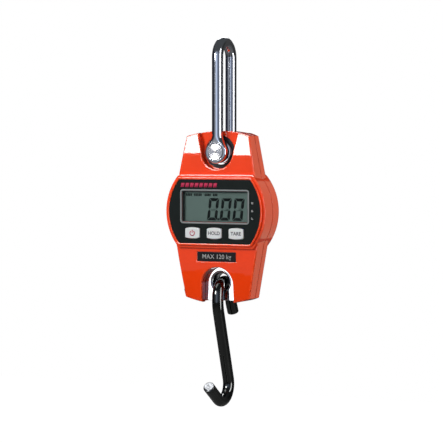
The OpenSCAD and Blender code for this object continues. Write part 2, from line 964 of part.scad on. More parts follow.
module door_seal() color(black) at_body() {
    lip_w = 2 * (tray_half_w - tray_wall - loose - door_lip) - 2 * seat;
    lip_h = 2 * (tray_half_h - tray_wall - loose - door_lip) - 2 * seat;
    difference() {
        slab(door_seat_y - 0.1, door_seat_y + seat) round_box(lip_w, lip_h, 0.5);
        slab(-far / 4, far / 4) square([lip_w - 3, lip_h - 3], center = true);
    }
}

// ---- Labels ----

module capacity_label() color(black) at_body() translate([0, 0, label_z]) {
    slab(-label_seat - label_t, -label_seat) square([label_w, label_h], center = true);
}

module rear_label() color(white) at_body() translate([0, 0, label_z]) {
    slab(label_seat, label_seat + label_t) square([label_w, label_h], center = true);
}

// ---- Shackle ----

// One forged eye: a thick disc and a flare that narrows to the rod
module eye(side) {
    translate([0, side * bow_r, -shackle_reach]) {
        rotate([90, 0, 0]) rotate_extrude() polygon([
            [0, -rod_r], [eye_r - eye_edge, -rod_r], [eye_r, -rod_r + eye_edge],
            [eye_r, rod_r - eye_edge], [eye_r - eye_edge, rod_r], [0, rod_r]
        ]);
        intersection() {
            translate([0, 0, flare_low]) cylinder(r1 = eye_r - 0.7, r2 = rod_r, h = flare_high - flare_low);
            cube([far, rod_d, far], center = true);
        }
    }
}

module shackle_bow() color(steel) {
    difference() {
        union() {
            bend(0, -leg_in_y, bow_r, rod_r, 0, 180);
            for (s = [-1, 1]) {
                straight(s * bow_r, -leg_in_y, -90, shackle_reach - leg_in_y - flare_low, rod_r);
                eye(s);
            }
        }
        rod_y(pin_r + running / 2, -far / 2, far / 2, z = -shackle_reach);
        rod_y(pin_head_r + running / 2, -far / 2, -leg_out_y + pin_head_t, z = -shackle_reach);
    }
}

module shackle_pin() color(steel) at_body() translate([0, 0, pin_z]) {
    difference() {
        union() {
            rod_y(pin_head_r, -leg_out_y, -leg_out_y + pin_head_t - seat);
            rod_y(pin_r, -leg_out_y + 1, pin_end_y);
        }
        difference() {
            rod_y(pin_r + 1, clip_y, clip_y + clip_t);
            rod_y(clip_groove_r, clip_y - 1, clip_y + clip_t + 1);
        }
    }
}

module pin_clip() color(dark_steel) at_body() translate([0, 0, pin_z]) {
    difference() {
        rod_y(pin_r + 1.6, clip_y + seat, clip_y + clip_t - seat);
        rod_y(clip_groove_r + seat, -far / 4, far / 4);
        translate([-1.6, 0, -far / 4]) cube([3.2, far / 4, far / 4]);
    }
}

module pin_spacers() color(white) at_body() translate([0, 0, pin_z]) {
    for (s = [0, 1]) {
        mirror([0, s, 0]) {
            difference() {
                rod_y(spacer_r, cell_y + spacer_gap, leg_in_y - seat);
                rod_y(pin_r + running, 0, far / 4);
            }
        }
    }
}

// ---- Hook ----

module hook_bush() color(steel) at_body() translate([0, 0, -hook_hole_z]) {
    difference() {
        rod_y(bush_r, -cell_y, cell_y);
        rod_y(bush_bore_r, -far / 4, far / 4);
        for (s = [0, 1]) {
            mirror([0, s, 0])
                cone_y(bush_bore_r, bush_bore_r + bush_chamfer, cell_y - bush_chamfer, cell_y);
        }
    }
}

// A straight run of the hook, carried a little way into the bends at its ends
module hook_run(y, z, direction, length) {
    straight(y - joint_lap * cos(direction), z - joint_lap * sin(direction), direction,
             length + 2 * joint_lap, wire_r - joint_step);
}

module hook() color(black) at_body() {
    bend(0, loop_z, loop_r, wire_r, 0, 180);
    hook_run(-loop_r, loop_z, -90, neck_drop);
    bend(neck_y, neck_z, neck_r, wire_r, 180, 180 + shank_lean);
    hook_run(neck_y - neck_r * cos(shank_lean), neck_z - neck_r * sin(shank_lean), shank_lean - 90, shank_l);
    bend(bend_y, bend_z, bend_r, wire_r, -90 - arm_rise, shank_lean);
    hook_run(bend_y - bend_r * sin(arm_rise), bend_z - bend_r * cos(arm_rise), 180 - arm_rise,
             arm_length - joint_lap);
    hook_run(loop_r, loop_z, -90, tail_straight);
    bend(loop_r + tail_bend_r, loop_z - tail_straight, tail_bend_r, wire_r, 180, 180 + tail_lean);
    hook_run(loop_r + tail_bend_r * (1 - cos(tail_lean)),
             loop_z - tail_straight - tail_bend_r * sin(tail_lean), tail_lean - 90, tail_l - joint_lap);
}

shackle_bow();
shackle_pin();
pin_clip();
pin_spacers();
front_housing();
rear_housing();
seam_seal();
front_eye_seal();
rear_eye_seal();
housing_screws();
display_panel();
window_frame();
display_window();
lcd_holder();
lcd_glass();
lcd_backlight();
zebra_strip();
main_board();
board_chips();
board_screws();
switch_bodies();
power_key();
hold_key();
tare_key();
power_plunger();
hold_plunger();
tare_plunger();
load_cell();
strain_gauges();
gauge_cover();
cell_screws();
cell_lead();
battery_cells();
battery_springs();
battery_plates();
battery_leads();
battery_door();
door_screw();
door_seal();
capacity_label();
rear_label();
hook_bush();
hook();
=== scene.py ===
import math

import bmesh
import bpy
from bpy.props import FloatProperty, FloatVectorProperty, PointerProperty
from mathutils import Matrix, Vector
from mathutils.bvhtree import BVHTree


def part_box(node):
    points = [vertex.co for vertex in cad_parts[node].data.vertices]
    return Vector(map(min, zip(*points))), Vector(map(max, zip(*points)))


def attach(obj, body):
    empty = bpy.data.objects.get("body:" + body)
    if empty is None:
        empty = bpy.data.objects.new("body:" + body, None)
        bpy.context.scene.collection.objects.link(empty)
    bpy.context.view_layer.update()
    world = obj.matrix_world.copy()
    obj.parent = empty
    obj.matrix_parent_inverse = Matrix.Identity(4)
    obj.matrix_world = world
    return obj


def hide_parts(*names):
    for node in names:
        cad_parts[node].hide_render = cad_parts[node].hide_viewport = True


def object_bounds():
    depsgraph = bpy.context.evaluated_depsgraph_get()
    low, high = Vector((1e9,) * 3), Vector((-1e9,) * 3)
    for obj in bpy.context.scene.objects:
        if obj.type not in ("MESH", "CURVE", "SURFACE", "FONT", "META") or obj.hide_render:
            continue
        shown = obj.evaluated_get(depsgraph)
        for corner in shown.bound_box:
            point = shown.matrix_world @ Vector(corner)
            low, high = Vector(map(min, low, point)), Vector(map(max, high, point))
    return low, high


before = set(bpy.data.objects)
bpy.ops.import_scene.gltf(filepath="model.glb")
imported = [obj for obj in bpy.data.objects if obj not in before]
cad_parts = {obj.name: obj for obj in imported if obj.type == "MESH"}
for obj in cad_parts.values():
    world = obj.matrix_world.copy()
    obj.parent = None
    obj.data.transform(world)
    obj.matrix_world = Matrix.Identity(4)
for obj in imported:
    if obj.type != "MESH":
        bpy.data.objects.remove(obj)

bl_info = {
    "name": "Hanging Crane Scale",
    "version": (1, 0, 0),
    "blender": (4, 5, 0),
    "location": "View3D > Sidebar > Crane Scale",
    "description": "Rounded shells, forged metal, display, keys and finishes of a crane scale",
    "category": "Object",
}

CAD_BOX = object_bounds()
MM = 0.001

# Thickness of all printed marks, and the edge radius of the shackle's eyes.
PRINT = 0.03 * MM
EYE_EDGE = 1.05 * MM


def middle(node):
    """Middle of a CAD node's box."""
    low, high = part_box(node)
    return (low + high) / 2


DISPLAY_Z = middle("display_panel").z
PANEL_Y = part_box("display_panel")[0].y
WINDOW_Z = middle("display_window").z
GLASS_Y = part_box("lcd_glass")[0].y
PIN_Z = middle("shackle_pin").z
BUSH_Z = middle("hook_bush").z
LEG_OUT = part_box("shackle_bow")[1].y


def length(name, description, default, low=0.0, high=0.2):
    return FloatProperty(
        name=name, description=description, default=default, min=low, max=high,
        subtype="DISTANCE", unit="LENGTH",
    )


def turn(name, description, degrees):
    return FloatProperty(
        name=name, description=description, default=math.radians(degrees), min=0.0, max=math.pi,
        subtype="ANGLE", unit="ROTATION",
    )


def colour(name, description, default):
    return FloatVectorProperty(
        name=name, description=description, default=default, size=3, min=0.0, max=1.0, subtype="COLOR"
    )


class ScaleSizes(bpy.types.PropertyGroup):
    """Sizes of the pieces that are built anew."""

    shell_edge: length("Shell edge", "Radius on the outside edges", 1.0 * MM, 0.2 * MM, 1.4 * MM)
    door_edge: length("Door edge", "Radius on the edges of the battery door", 0.5 * MM, 0.1 * MM, 0.7 * MM)
    key_edge: length("Key edge", "Radius on the edges of the keys", 0.55 * MM, 0.1 * MM, 0.7 * MM)
    rod: length("Shackle rod", "Diameter of the shackle rod", 7.8 * MM)
    eye: length("Shackle eye", "Radius of the flat eyes of the shackle", 8 * MM)
    flare: length("Eye flare", "Height over the pin where the eye has narrowed to the rod", 11.8 * MM)
    head: length("Pin head", "Diameter of the pin's flat head", 11.2 * MM)
    pin: length("Pin", "Diameter of the pin", 8 * MM)
    hook_rod: length("Hook rod", "Diameter of the hook rod", 8 * MM)
    loop: length("Hook loop", "Centreline radius of the hook's upper loop", 10.4 * MM)
    neck: length("Hook neck", "Centreline radius of the bend below the loop", 30 * MM)
    neck_drop: length("Neck drop", "Straight length between the loop and the neck", 2 * MM)
    drop: length("Hook drop", "Drop from the loop's centre to the lower bend's centre", 62.2 * MM)
    bowl: length("Hook bowl", "Centreline radius of the lower bend", 11 * MM)
    forward: length("Bowl forward", "How far the lower bend lies in front of the middle plane", 4 * MM)
    arm: length("Open arm", "Straight length of the open arm", 17.6 * MM)
    arm_rise: turn("Arm rise", "Rise of the open arm", 35)
    tail_bend: length("Tail bend", "Centreline radius of the short tail's bend", 14 * MM)
    tail_lean: turn("Tail lean", "Lean of the short tail", 25)
    tail_end: length("Tail end", "Straight length of the tail's end", 6 * MM)
    digit_high: length("Digit height", "Height of the large digits", 15.5 * MM)
    digit_wide: length("Digit width", "Width of the large digits", 7.7 * MM)
    digit_pitch: length("Digit pitch", "Distance between the large digits", 9.75 * MM)
    stroke: length("Digit stroke", "Width of a digit's segments", 2.1 * MM)


class ScaleColours(bpy.types.PropertyGroup):
    """Colours of the finishes."""

    shell: colour("Shell", "Glossy shell", (0.84, 0.046, 0.001))
    # The shell edge colour is lighter partly for worn thin paint and partly as a painted highlight on the
    # rounded edges.
    shell_edge: colour("Shell edge", "Worn outside edges of the shell", (0.95, 0.115, 0.035))
    steel: colour("Steel", "Polished steel", (0.70, 0.72, 0.76))
    dark_chrome: colour("Dark chrome", "Dark plating of the hook", (0.085, 0.088, 0.085))
    cut_steel: colour("Cut steel", "Bare sheared ends", (0.66, 0.68, 0.72))
    panel: colour("Panel", "Printed panel sheet", (0.010, 0.0135, 0.013))
    frame_line: colour("Frame line", "Line round the window", (0.17, 0.185, 0.185))
    mark: colour("Mark", "Coloured marks on the panel and power key", (0.46, 0.018, 0.07))
    glass: colour("Display", "Resting display", (0.105, 0.158, 0.142))
    segment: colour("Segment", "Driven segments", (0.006, 0.010, 0.010))
    key: colour("Key", "Key caps", (0.66, 0.65, 0.64))
    legend: colour("Legend", "Lettering on the keys", (0.06, 0.06, 0.065))
    rubber: colour("Rubber", "Seals", (0.011, 0.011, 0.012))
    label: colour("Label", "Front label", (0.014, 0.014, 0.015))
    print: colour("Print", "Lettering on the front label", (0.32, 0.32, 0.31))


def sizes():
    return bpy.context.scene.crane_sizes


def colours():
    return bpy.context.scene.crane_colours


# ---- Mesh tools ----


def mesh_from(name, bm):
    """Turns a bmesh into a mesh."""
    mesh = bpy.data.meshes.new(name)
    bm.to_mesh(mesh)
    bm.free()
    return mesh


def add_object(name, data):
    """An object of a mesh, curve, lamp or camera in the scene."""
    made = bpy.data.objects.new(name, data)
    bpy.context.scene.collection.objects.link(made)
    return made


def add_piece(name, bm, finish, body, nodes=()):
    """Makes an object from a bmesh, gives it a finish and lets it ride on a body."""
    bm.normal_update()
    mesh = mesh_from(name, bm)
    for face in mesh.polygons:
        face.use_smooth = True
    mesh.materials.append(finish)
    piece = add_object(name, mesh)
    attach(piece, body)
    if nodes:
        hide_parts(*nodes)
    return piece


def apply_modifiers(piece):
    """Turns a piece's modifiers into plain mesh."""
    bpy.context.view_layer.update()
    graph = bpy.context.evaluated_depsgraph_get()
    mesh = bpy.data.meshes.new_from_object(
        piece.evaluated_get(graph), preserve_all_data_layers=True, depsgraph=graph
    )
    material = piece.data.materials[0]
    piece.modifiers.clear()
    piece.data = mesh
    if not mesh.materials:
        mesh.materials.append(material)


def weigh_edges(piece, radius, choose, angle=25):
    """Gives each outward sharp edge the radius in millimetres that choose finds for its middle and facing."""
    bm = bmesh.new()
    bm.from_mesh(piece.data)
    bm.normal_update()
    weight = bm.edges.layers.float.new("bevel_weight_edge")
    for edge in bm.edges:
        if len(edge.link_faces) == 2 and edge.calc_face_angle_signed(0) > math.radians(angle):
            facing = (edge.link_faces[0].normal + edge.link_faces[1].normal).normalized()
            spot = (edge.verts[0].co + edge.verts[1].co) / 2 - Vector((0, 0, DISPLAY_Z))
            edge[weight] = min(1.0, choose(spot / MM, facing) * MM / radius)
    bm.to_mesh(piece.data)
    bm.free()


def mark_wear_and_highlight(mesh, wear_and_highlight):
    """Keeps which faces wear, for the finish to read; on the shell these faces also carry a painted
    highlight.
    """
    edge = mesh.attributes.new("edge", "FLOAT", "FACE")
    edge.data.foreach_set("value", [float(each) for each in wear_and_highlight])


def round_edges(piece, radius, segments, angle=30, limit="ANGLE"):
    """Rounds the sharp edges, and keeps which faces are on an edge for the wear in the finish, which on the
    shell is also a painted highlight.
    """
    piece.data.materials.append(piece.data.materials[0])
    rounding = piece.modifiers.new("rounding", "BEVEL")
    rounding.width = radius
    rounding.segments = segments
    rounding.limit_method = limit
    rounding.angle_limit = math.radians(angle)
    rounding.use_clamp_overlap = False
    rounding.miter_outer = "MITER_ARC"
    rounding.material = 1
    apply_modifiers(piece)
    faces = piece.data.polygons
    mark_wear_and_highlight(piece.data, [face.material_index == 1 for face in faces])
    faces.foreach_set("material_index", [0] * len(faces))


def keep_creases(piece, angle=35):
    """Marks creases sharp, so that flats and rounds shade cleanly."""
    bm = bmesh.new()
    bm.from_mesh(piece.data)
    for edge in bm.edges:
        edge.smooth = len(edge.link_faces) == 2 and edge.calc_face_angle(0) < math.radians(angle)
    bm.to_mesh(piece.data)
    bm.free()


def settle(piece, surface, reach):
    """Puts back the vertices that a rounding has thrown off the surface it started from."""
    for vertex in piece.data.vertices:
        spot, _, _, far = surface.find_nearest(vertex.co)
        if far > reach:
            vertex.co = spot


def flatten_normals(piece, angle=35):
    """Lets the large flats keep their own direction, so that only the rounded edges bend a reflection."""
    keep_creases(piece, angle)
    weighted = piece.modifiers.new("weighted", "WEIGHTED_NORMAL")
    weighted.mode = "FACE_AREA"
    weighted.weight = 80
    weighted.keep_sharp = True
    apply_modifiers(piece)


def node_copy(node, grain=0.02 * MM):
    """Copy of a CAD node with its flat faces joined up again."""
    bm = bmesh.new()
    bm.from_mesh(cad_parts[node].data)
    bmesh.ops.remove_doubles(bm, verts=bm.verts, dist=grain)
    bmesh.ops.dissolve_limit(bm, angle_limit=math.radians(0.6), verts=bm.verts, edges=bm.edges)
    return bm


def rounded_copies(body, *rows):
    """CAD nodes with rounded edges; a row is name, node, finish, slot, radius in millimetres and steps; the
    slot is not used.
    """
    for name, node, material, slot, radius, segments in rows:
        piece = add_piece(name, node_copy(node), material, body, [node])
        round_edges(piece, radius * MM, segments)
        flatten_normals(piece)


def stitch(bm, first, second):
    """Joins two rings of the same length with quads."""
    count = len(first)
    for i in range(count):
        corners = [first[i], first[(i + 1) % count], second[(i + 1) % count], second[i]]
        corners = list(dict.fromkeys(corners))
        if len(corners) > 2:
            bm.faces.new(corners)


def turned(profile, centre, steps=72, axis="Y"):
    """A closed turned solid; the profile is a list of radius and place along the axis."""
    bm = bmesh.new()
    rings = []
    for radius, place in profile:
        if radius < 1e-7:
            rings.append([bm.verts.new((0, place, 0))] * steps)
        else:
            rings.append([
                bm.verts.new((radius * math.sin(a), place, radius * math.cos(a)))
                for a in (math.tau * i / steps for i in range(steps))
            ])
    for first, second in zip(rings, rings[1:]):
        stitch(bm, first, second)
    if axis == "X":
        bmesh.ops.rotate(bm, verts=bm.verts, matrix=Matrix.Rotation(-math.pi / 2, 3, "Z"))
    bmesh.ops.translate(bm, verts=bm.verts, vec=centre)
    bmesh.ops.recalc_face_normals(bm, faces=bm.faces)
    return bm


def drill(piece, radius, low, high):
    """Cuts a round hole about the pin's axis out of a piece."""
    cutter = turned([(0, low), (radius, low), (radius, high), (0, high)], (0, 0, PIN_Z))
    tool = add_object("cutter", mesh_from("cutter", cutter))
    cut = piece.modifiers.new("cut", "BOOLEAN")
    cut.operation = "DIFFERENCE"
    cut.object = tool
    cut.solver = "EXACT"
    apply_modifiers(piece)
    bpy.data.objects.remove(tool)


def swept(points, radii, sides):
    """A round rod along a list of points, with its ends closed."""
    bm = bmesh.new()
    side = Vector((1, 0, 0))
    rings = []
    for i, (point, radius) in enumerate(zip(points, radii)):
        before, after = points[max(i - 1, 0)], points[min(i + 1, len(points) - 1)]
        along = (after - before).normalized()
        across = (side - along * side.dot(along)).normalized()
        up = along.cross(across)
        rings.append([
            bm.verts.new(point + (across * math.cos(a) + up * math.sin(a)) * radius)
            for a in (math.tau * k / sides for k in range(sides))
        ])
        side = across
    for first, second in zip(rings, rings[1:]):
        stitch(bm, first, second)
    bm.faces.new(rings[0])
    bm.faces.new(rings[-1])
    bmesh.ops.recalc_face_normals(bm, faces=bm.faces)
    return bm


def capped(points, radius, edge, steps=4):
    """Points and radii of a rod whose two cut ends have a small round edge."""
    def end(tip, inner):
        inward = (inner - tip).normalized()
        found = [
            (tip + inward * edge * (1 - math.sin(a)), radius - edge * (1 - math.cos(a)))
            for a in (math.pi / 2 * (1 - k / steps) for k in range(steps))
        ]
        return found + [(tip + inward * edge, radius)]
    first, last = end(points[0], points[1]), end(points[-1], points[-2])[::-1]
    whole = first + [(p, radius) for p in points[1:-1]] + last
    return [p for p, r in whole], [r for p, r in whole]


def arc(cy, cz, radius, start, stop, steps):
    """Points of an arc in the side plane, angles counted from +Y towards +Z."""
    return [
        Vector((0, cy + radius * math.cos(a), cz + radius * math.sin(a)))
        for a in (start + (stop - start) * k / steps for k in range(steps + 1))
    ]


def plates(outlines, y, thick):
    """Thin plates from front-view outlines, with their face at depth y."""
    bm = bmesh.new()
    for outline in outlines:
        face = bm.faces.new([bm.verts.new((x, y + thick, z)) for x, z in outline])
        made = bmesh.ops.extrude_face_region(bm, geom=[face])["geom"]
        bmesh.ops.translate(
            bm, verts=[v for v in made if isinstance(v, bmesh.types.BMVert)], vec=(0, -thick, 0)
        )
    bmesh.ops.recalc_face_normals(bm, faces=bm.faces)
    return bm


def slanted(x, z, wide, high, lean=0.0):
    """Outline of a box that leans to the right."""
    return [(x, z), (x + wide, z), (x + wide + lean, z + high), (x + lean, z + high)]


def ring_outline(x, z, outer, inner, start, stop, steps=28):
    """Outline of part of a ring."""
    angles = [start + (stop - start) * k / steps for k in range(steps + 1)]
    return [(x + outer * math.cos(a), z + outer * math.sin(a)) for a in angles] + [
        (x + inner * math.cos(a), z + inner * math.sin(a)) for a in reversed(angles)
    ]


def lettering(words, high, x, z, y, bold, facing=-1):
    """Plain raised letters centred on x, z, read from the front, or from the back if facing is 1."""
    curve = bpy.data.curves.new("letters", "FONT")
    curve.body = words
    curve.size = high
    curve.extrude = PRINT / 2
    curve.align_x = "CENTER"
    curve.align_y = "CENTER"
    curve.offset = bold
    holder = add_object("letters", curve)
    bpy.context.view_layer.update()
    mesh = bpy.data.meshes.new_from_object(holder.evaluated_get(bpy.context.evaluated_depsgraph_get()))
    bm = bmesh.new()
    bm.from_mesh(mesh)
    bmesh.ops.rotate(bm, verts=bm.verts, matrix=Matrix.Rotation(math.pi / 2, 3, "X"))
    if facing > 0:
        bmesh.ops.rotate(bm, verts=bm.verts, matrix=Matrix.Rotation(math.pi, 3, "Z"))
    bmesh.ops.translate(bm, verts=bm.verts, vec=(x, y + facing * PRINT / 2, z))
    bpy.data.objects.remove(holder)
    bpy.data.curves.remove(curve)
    bpy.data.meshes.remove(mesh)
    return bm


# ---- Finishes ----


def new_group(name, inputs, outputs):
    """A shader node group; answers with the group, its given values and the place on the object."""
    group = bpy.data.node_groups.new(name, "ShaderNodeTree")
    for label, value in inputs.items():
        kind = "NodeSocketVector" if isinstance(value, tuple) else "NodeSocketFloat"
        made = group.interface.new_socket(name=label, in_out="INPUT", socket_type=kind)
        made.default_value = value
    for label in outputs:
        group.interface.new_socket(name=label, in_out="OUTPUT", socket_type="NodeSocketFloat")
    place = add_node(group, "ShaderNodeTexCoord").outputs["Object"]
    return group, group.nodes.new("NodeGroupInput").outputs, place


def close_group(group, *values):
    """Feeds a group's outputs in their order."""
    out = group.nodes.new("NodeGroupOutput")
    for socket, value in zip(out.inputs, values):
        group.links.new(value, socket)
    return group


def add_node(tree, kind, links=(), **settings):
    """Adds a node; links is a list of input name or number and what feeds it."""
    made = tree.nodes.new(kind)
    for key, value in settings.items():
        setattr(made, key, value)
    for socket, source in links:
        if isinstance(source, bpy.types.NodeSocket):
            tree.links.new(source, made.inputs[socket])
        else:
            made.inputs[socket].default_value = source
    return made


def mapped(tree, value, low, high, to_low, to_high):
    """Maps a value from one range to another."""
    made = add_node(tree, "ShaderNodeMapRange", [
        ("Value", value), ("From Min", low), ("From Max", high), ("To Min", to_low), ("To Max", to_high)
    ])
    return made.outputs["Result"]


def maths(tree, operation, *values, kind="Math", result=0):
    """One step of arithmetic on values or vectors."""
    return add_node(tree, "ShaderNode" + kind, enumerate(values), operation=operation).outputs[result]


def noise(tree, place, scale, detail, roughness=0.5):
    """Soft noise at a place."""
    return add_node(tree, "ShaderNodeTexNoise", [
        ("Vector", place), ("Scale", scale), ("Detail", detail), ("Roughness", roughness)
    ]).outputs[0]


def mottle_group():
    """Slow and fine unevenness of a moulded or painted surface."""
    group, given, place = new_group(
        "Uneven Surface", {"Scale": 60.0, "Low": 0.0, "High": 1.0}, ["Value", "Height"]
    )
    slow = noise(group, place, given["Scale"], 4.0, 0.55)
    fine = noise(group, place, maths(group, "MULTIPLY", given["Scale"], 9.0), 2.0)
    return close_group(group, mapped(group, slow, 0.32, 0.68, given["Low"], given["High"]), fine)


def wear_and_highlight_group():
    """Where rounded edges are worn, and on the shell also lit by a painted highlight, broken up by a fine
    noise.
    """
    group, given, place = new_group("Rubbed Edges And Painted Highlight", {"Scale": 500.0, "Amount": 1.0}, ["Mask"])
    edge = add_node(group, "ShaderNodeAttribute", attribute_name="edge").outputs["Fac"]
    broken = mapped(group, noise(group, place, given["Scale"], 3.0), 0.35, 0.65, 0.25, 1.0)
    part = maths(group, "MULTIPLY", edge, broken)
    return close_group(group, maths(group, "MULTIPLY", part, given["Amount"]))


def grind_group():
    """Long fine lines of a ground, drawn or brushed metal."""
    group, given, place = new_group(
        "Ground Lines", {"Stretch": (400.0, 400.0, 20.0), "Low": 0.0, "High": 1.0}, ["Value", "Height"]
    )
    pulled = maths(group, "MULTIPLY", place, given["Stretch"], kind="VectorMath")
    lines = noise(group, pulled, 1.0, 6.0, 0.7)
    return close_group(group, mapped(group, lines, 0.3, 0.7, given["Low"], given["High"]), lines)


def turning_group():
    """Fine rings left by turning a face about an axis along Y."""
    given_values = {"Centre": (0.0, 0.0, 0.0), "Rings": 4000.0, "Low": 0.0, "High": 1.0}
    group, given, place = new_group("Turning Rings", given_values, ["Value", "Height"])
    moved = maths(group, "SUBTRACT", place, given["Centre"], kind="VectorMath")
    flat = maths(group, "MULTIPLY", moved, (1.0, 0.0, 1.0), kind="VectorMath")
    far = maths(group, "LENGTH", flat, kind="VectorMath", result="Value")
    wave = add_node(group, "ShaderNodeTexNoise", [
        ("W", maths(group, "MULTIPLY", far, given["Rings"])), ("Scale", 1.0), ("Detail", 3.0)
    ], noise_dimensions="1D").outputs[0]
    return close_group(group, mapped(group, wave, 0.3, 0.7, given["Low"], given["High"]), wave)


def speck_group():
    """Sparse small specks: dust, pits or glints."""
    group, given, place = new_group("Fine Specks", {"Scale": 900.0, "Size": 0.12, "Amount": 1.0}, ["Mask"])
    cells = add_node(group, "ShaderNodeTexVoronoi", [("Vector", place), ("Scale", given["Scale"])])
    spot = mapped(group, cells.outputs["Distance"], given["Size"], 0.0, 0.0, 1.0)
    few = mapped(group, noise(group, place, 90.0, 2.0), 0.52, 0.62, 0.0, 1.0)
    part = maths(group, "MULTIPLY", spot, few)
    return close_group(group, maths(group, "MULTIPLY", part, given["Amount"]))


GROUPS = {}
FINISHES = {}


def group_node(tree, key, **values):
    """Places a shared group in a finish with its own values."""
    builders = {
        "mottle": mottle_group, "wear": wear_and_highlight_group, "grind": grind_group,
        "turning": turning_group, "specks": speck_group,
    }
    GROUPS[key] = GROUPS.get(key) or builders[key]()
    made = tree.nodes.new("ShaderNodeGroup")
    made.node_tree = GROUPS[key]
    for name, value in values.items():
        made.inputs[name].default_value = value
    return made


def blend_colours(tree, mask, first, second):
    """Mixes two colours by a mask."""
    tints = [c if isinstance(c, bpy.types.NodeSocket) else (*c, 1.0) for c in (first, second)]
    links = [(0, mask), (6, tints[0]), (7, tints[1])]
    return add_node(tree, "ShaderNodeMix", links, data_type="RGBA").outputs[2]


def shade(tint, factor):
    """A colour made lighter or darker."""
    return tuple(min(1.0, c * factor) for c in tint)


def finish(
    name, tint, rough=(0.3, 0.4), metal=0.0, edge=None, wear=1.0, scale=60.0, vary=(0.94, 1.06),
    lines=None, rings=None, bump=0.05, depth=0.05, specks=0.0, speck_tint=(0.8, 0.8, 0.8), **shader_values
):
    """A finish with uneven colour and roughness, fine relief, worn edges that on the shell are also a painted
    highlight, and a few specks.
    """
    if name in FINISHES:
        return FINISHES[name]
    material = bpy.data.materials.new(name)
    material.use_nodes = True
    tree = material.node_tree
    shader = tree.nodes["Principled BSDF"]
    shader.inputs["Metallic"].default_value = metal
    for key, value in shader_values.items():
        shader.inputs[key.replace("_", " ").title().replace("Ior", "IOR")].default_value = value
    mottle = group_node(tree, "mottle", Scale=scale, Low=0.0, High=1.0)
    base = blend_colours(tree, mottle.outputs["Value"], shade(tint, vary[0]), shade(tint, vary[1]))
    if lines:
        relief = group_node(tree, "grind", Stretch=lines, Low=rough[0], High=rough[1])
    elif rings:
        relief = group_node(tree, "turning", Centre=rings[0], Rings=rings[1], Low=rough[0], High=rough[1])
    else:
        relief = group_node(tree, "mottle", Scale=scale * 2.3, Low=rough[0], High=rough[1])
    # The edge colour goes over the edge mask: wear, and on the shell also a painted highlight.
    if edge:
        wear_and_highlight = group_node(tree, "wear", Scale=scale * 8, Amount=wear)
        base = blend_colours(tree, wear_and_highlight.outputs["Mask"], base, edge)
    if specks:
        spots = group_node(tree, "specks", Amount=specks)
        base = blend_colours(tree, spots.outputs["Mask"], base, speck_tint)
    tree.links.new(base, shader.inputs["Base Color"])
    tree.links.new(relief.outputs["Value"], shader.inputs["Roughness"])
    bumped = add_node(tree, "ShaderNodeBump", [
        ("Height", relief.outputs["Height"]), ("Strength", bump), ("Distance", depth * MM)
    ])
    tree.links.new(bumped.outputs[0], shader.inputs["Normal"])
    FINISHES[name] = material
    return material


def shell_finish():
    c = colours()
    return finish(
        # The lighter edge colour marks worn thin paint and a painted highlight on the rounded edges.
        "glossy_orange_shell", c.shell, rough=(0.025, 0.055), edge=c.shell_edge, wear=0.55, scale=45,
        vary=(0.95, 1.04), bump=0.012, depth=0.02, specks=0.18, speck_tint=(0.95, 0.5, 0.35),
        coat_weight=0.5, coat_roughness=0.03,
    )


def rubber_finish():
    return finish("black_rubber", colours().rubber, rough=(0.55, 0.75), scale=220, bump=0.25, specks=0.1,
                  speck_tint=(0.08, 0.08, 0.08))


def steel_finish():
    return finish(
        "polished_steel", colours().steel, rough=(0.045, 0.10), metal=1.0, wear=0.6, scale=110,
        edge=shade(colours().steel, 1.25), vary=(0.96, 1.03), bump=0.02, depth=0.02,
        specks=0.25, speck_tint=(0.3, 0.3, 0.32),
    )


def ink_finish(name, tint, bump=0.05):
    return finish(name, tint, rough=(0.4, 0.55), scale=300, bump=bump)


def screw_finish(name="black_screw", tint=(0.05, 0.05, 0.052)):
    return finish(name, tint, rough=(0.28, 0.42), metal=1.0, edge=(0.3, 0.3, 0.31), wear=0.7, scale=300,
                  bump=0.12, depth=0.02)


def dress(node, material):
    """Gives a carried-over CAD node its finish."""
    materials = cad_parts[node].data.materials
    if not materials:
        materials.append(material)
    for i in range(len(materials)):
        materials[i] = material


# ---- Operators ----


class PieceOperator:
    """What the operators of all pieces share."""

    bl_options = {"REGISTER", "UNDO"}

    def execute(self, context):
        self.build()
        return {"FINISHED"}


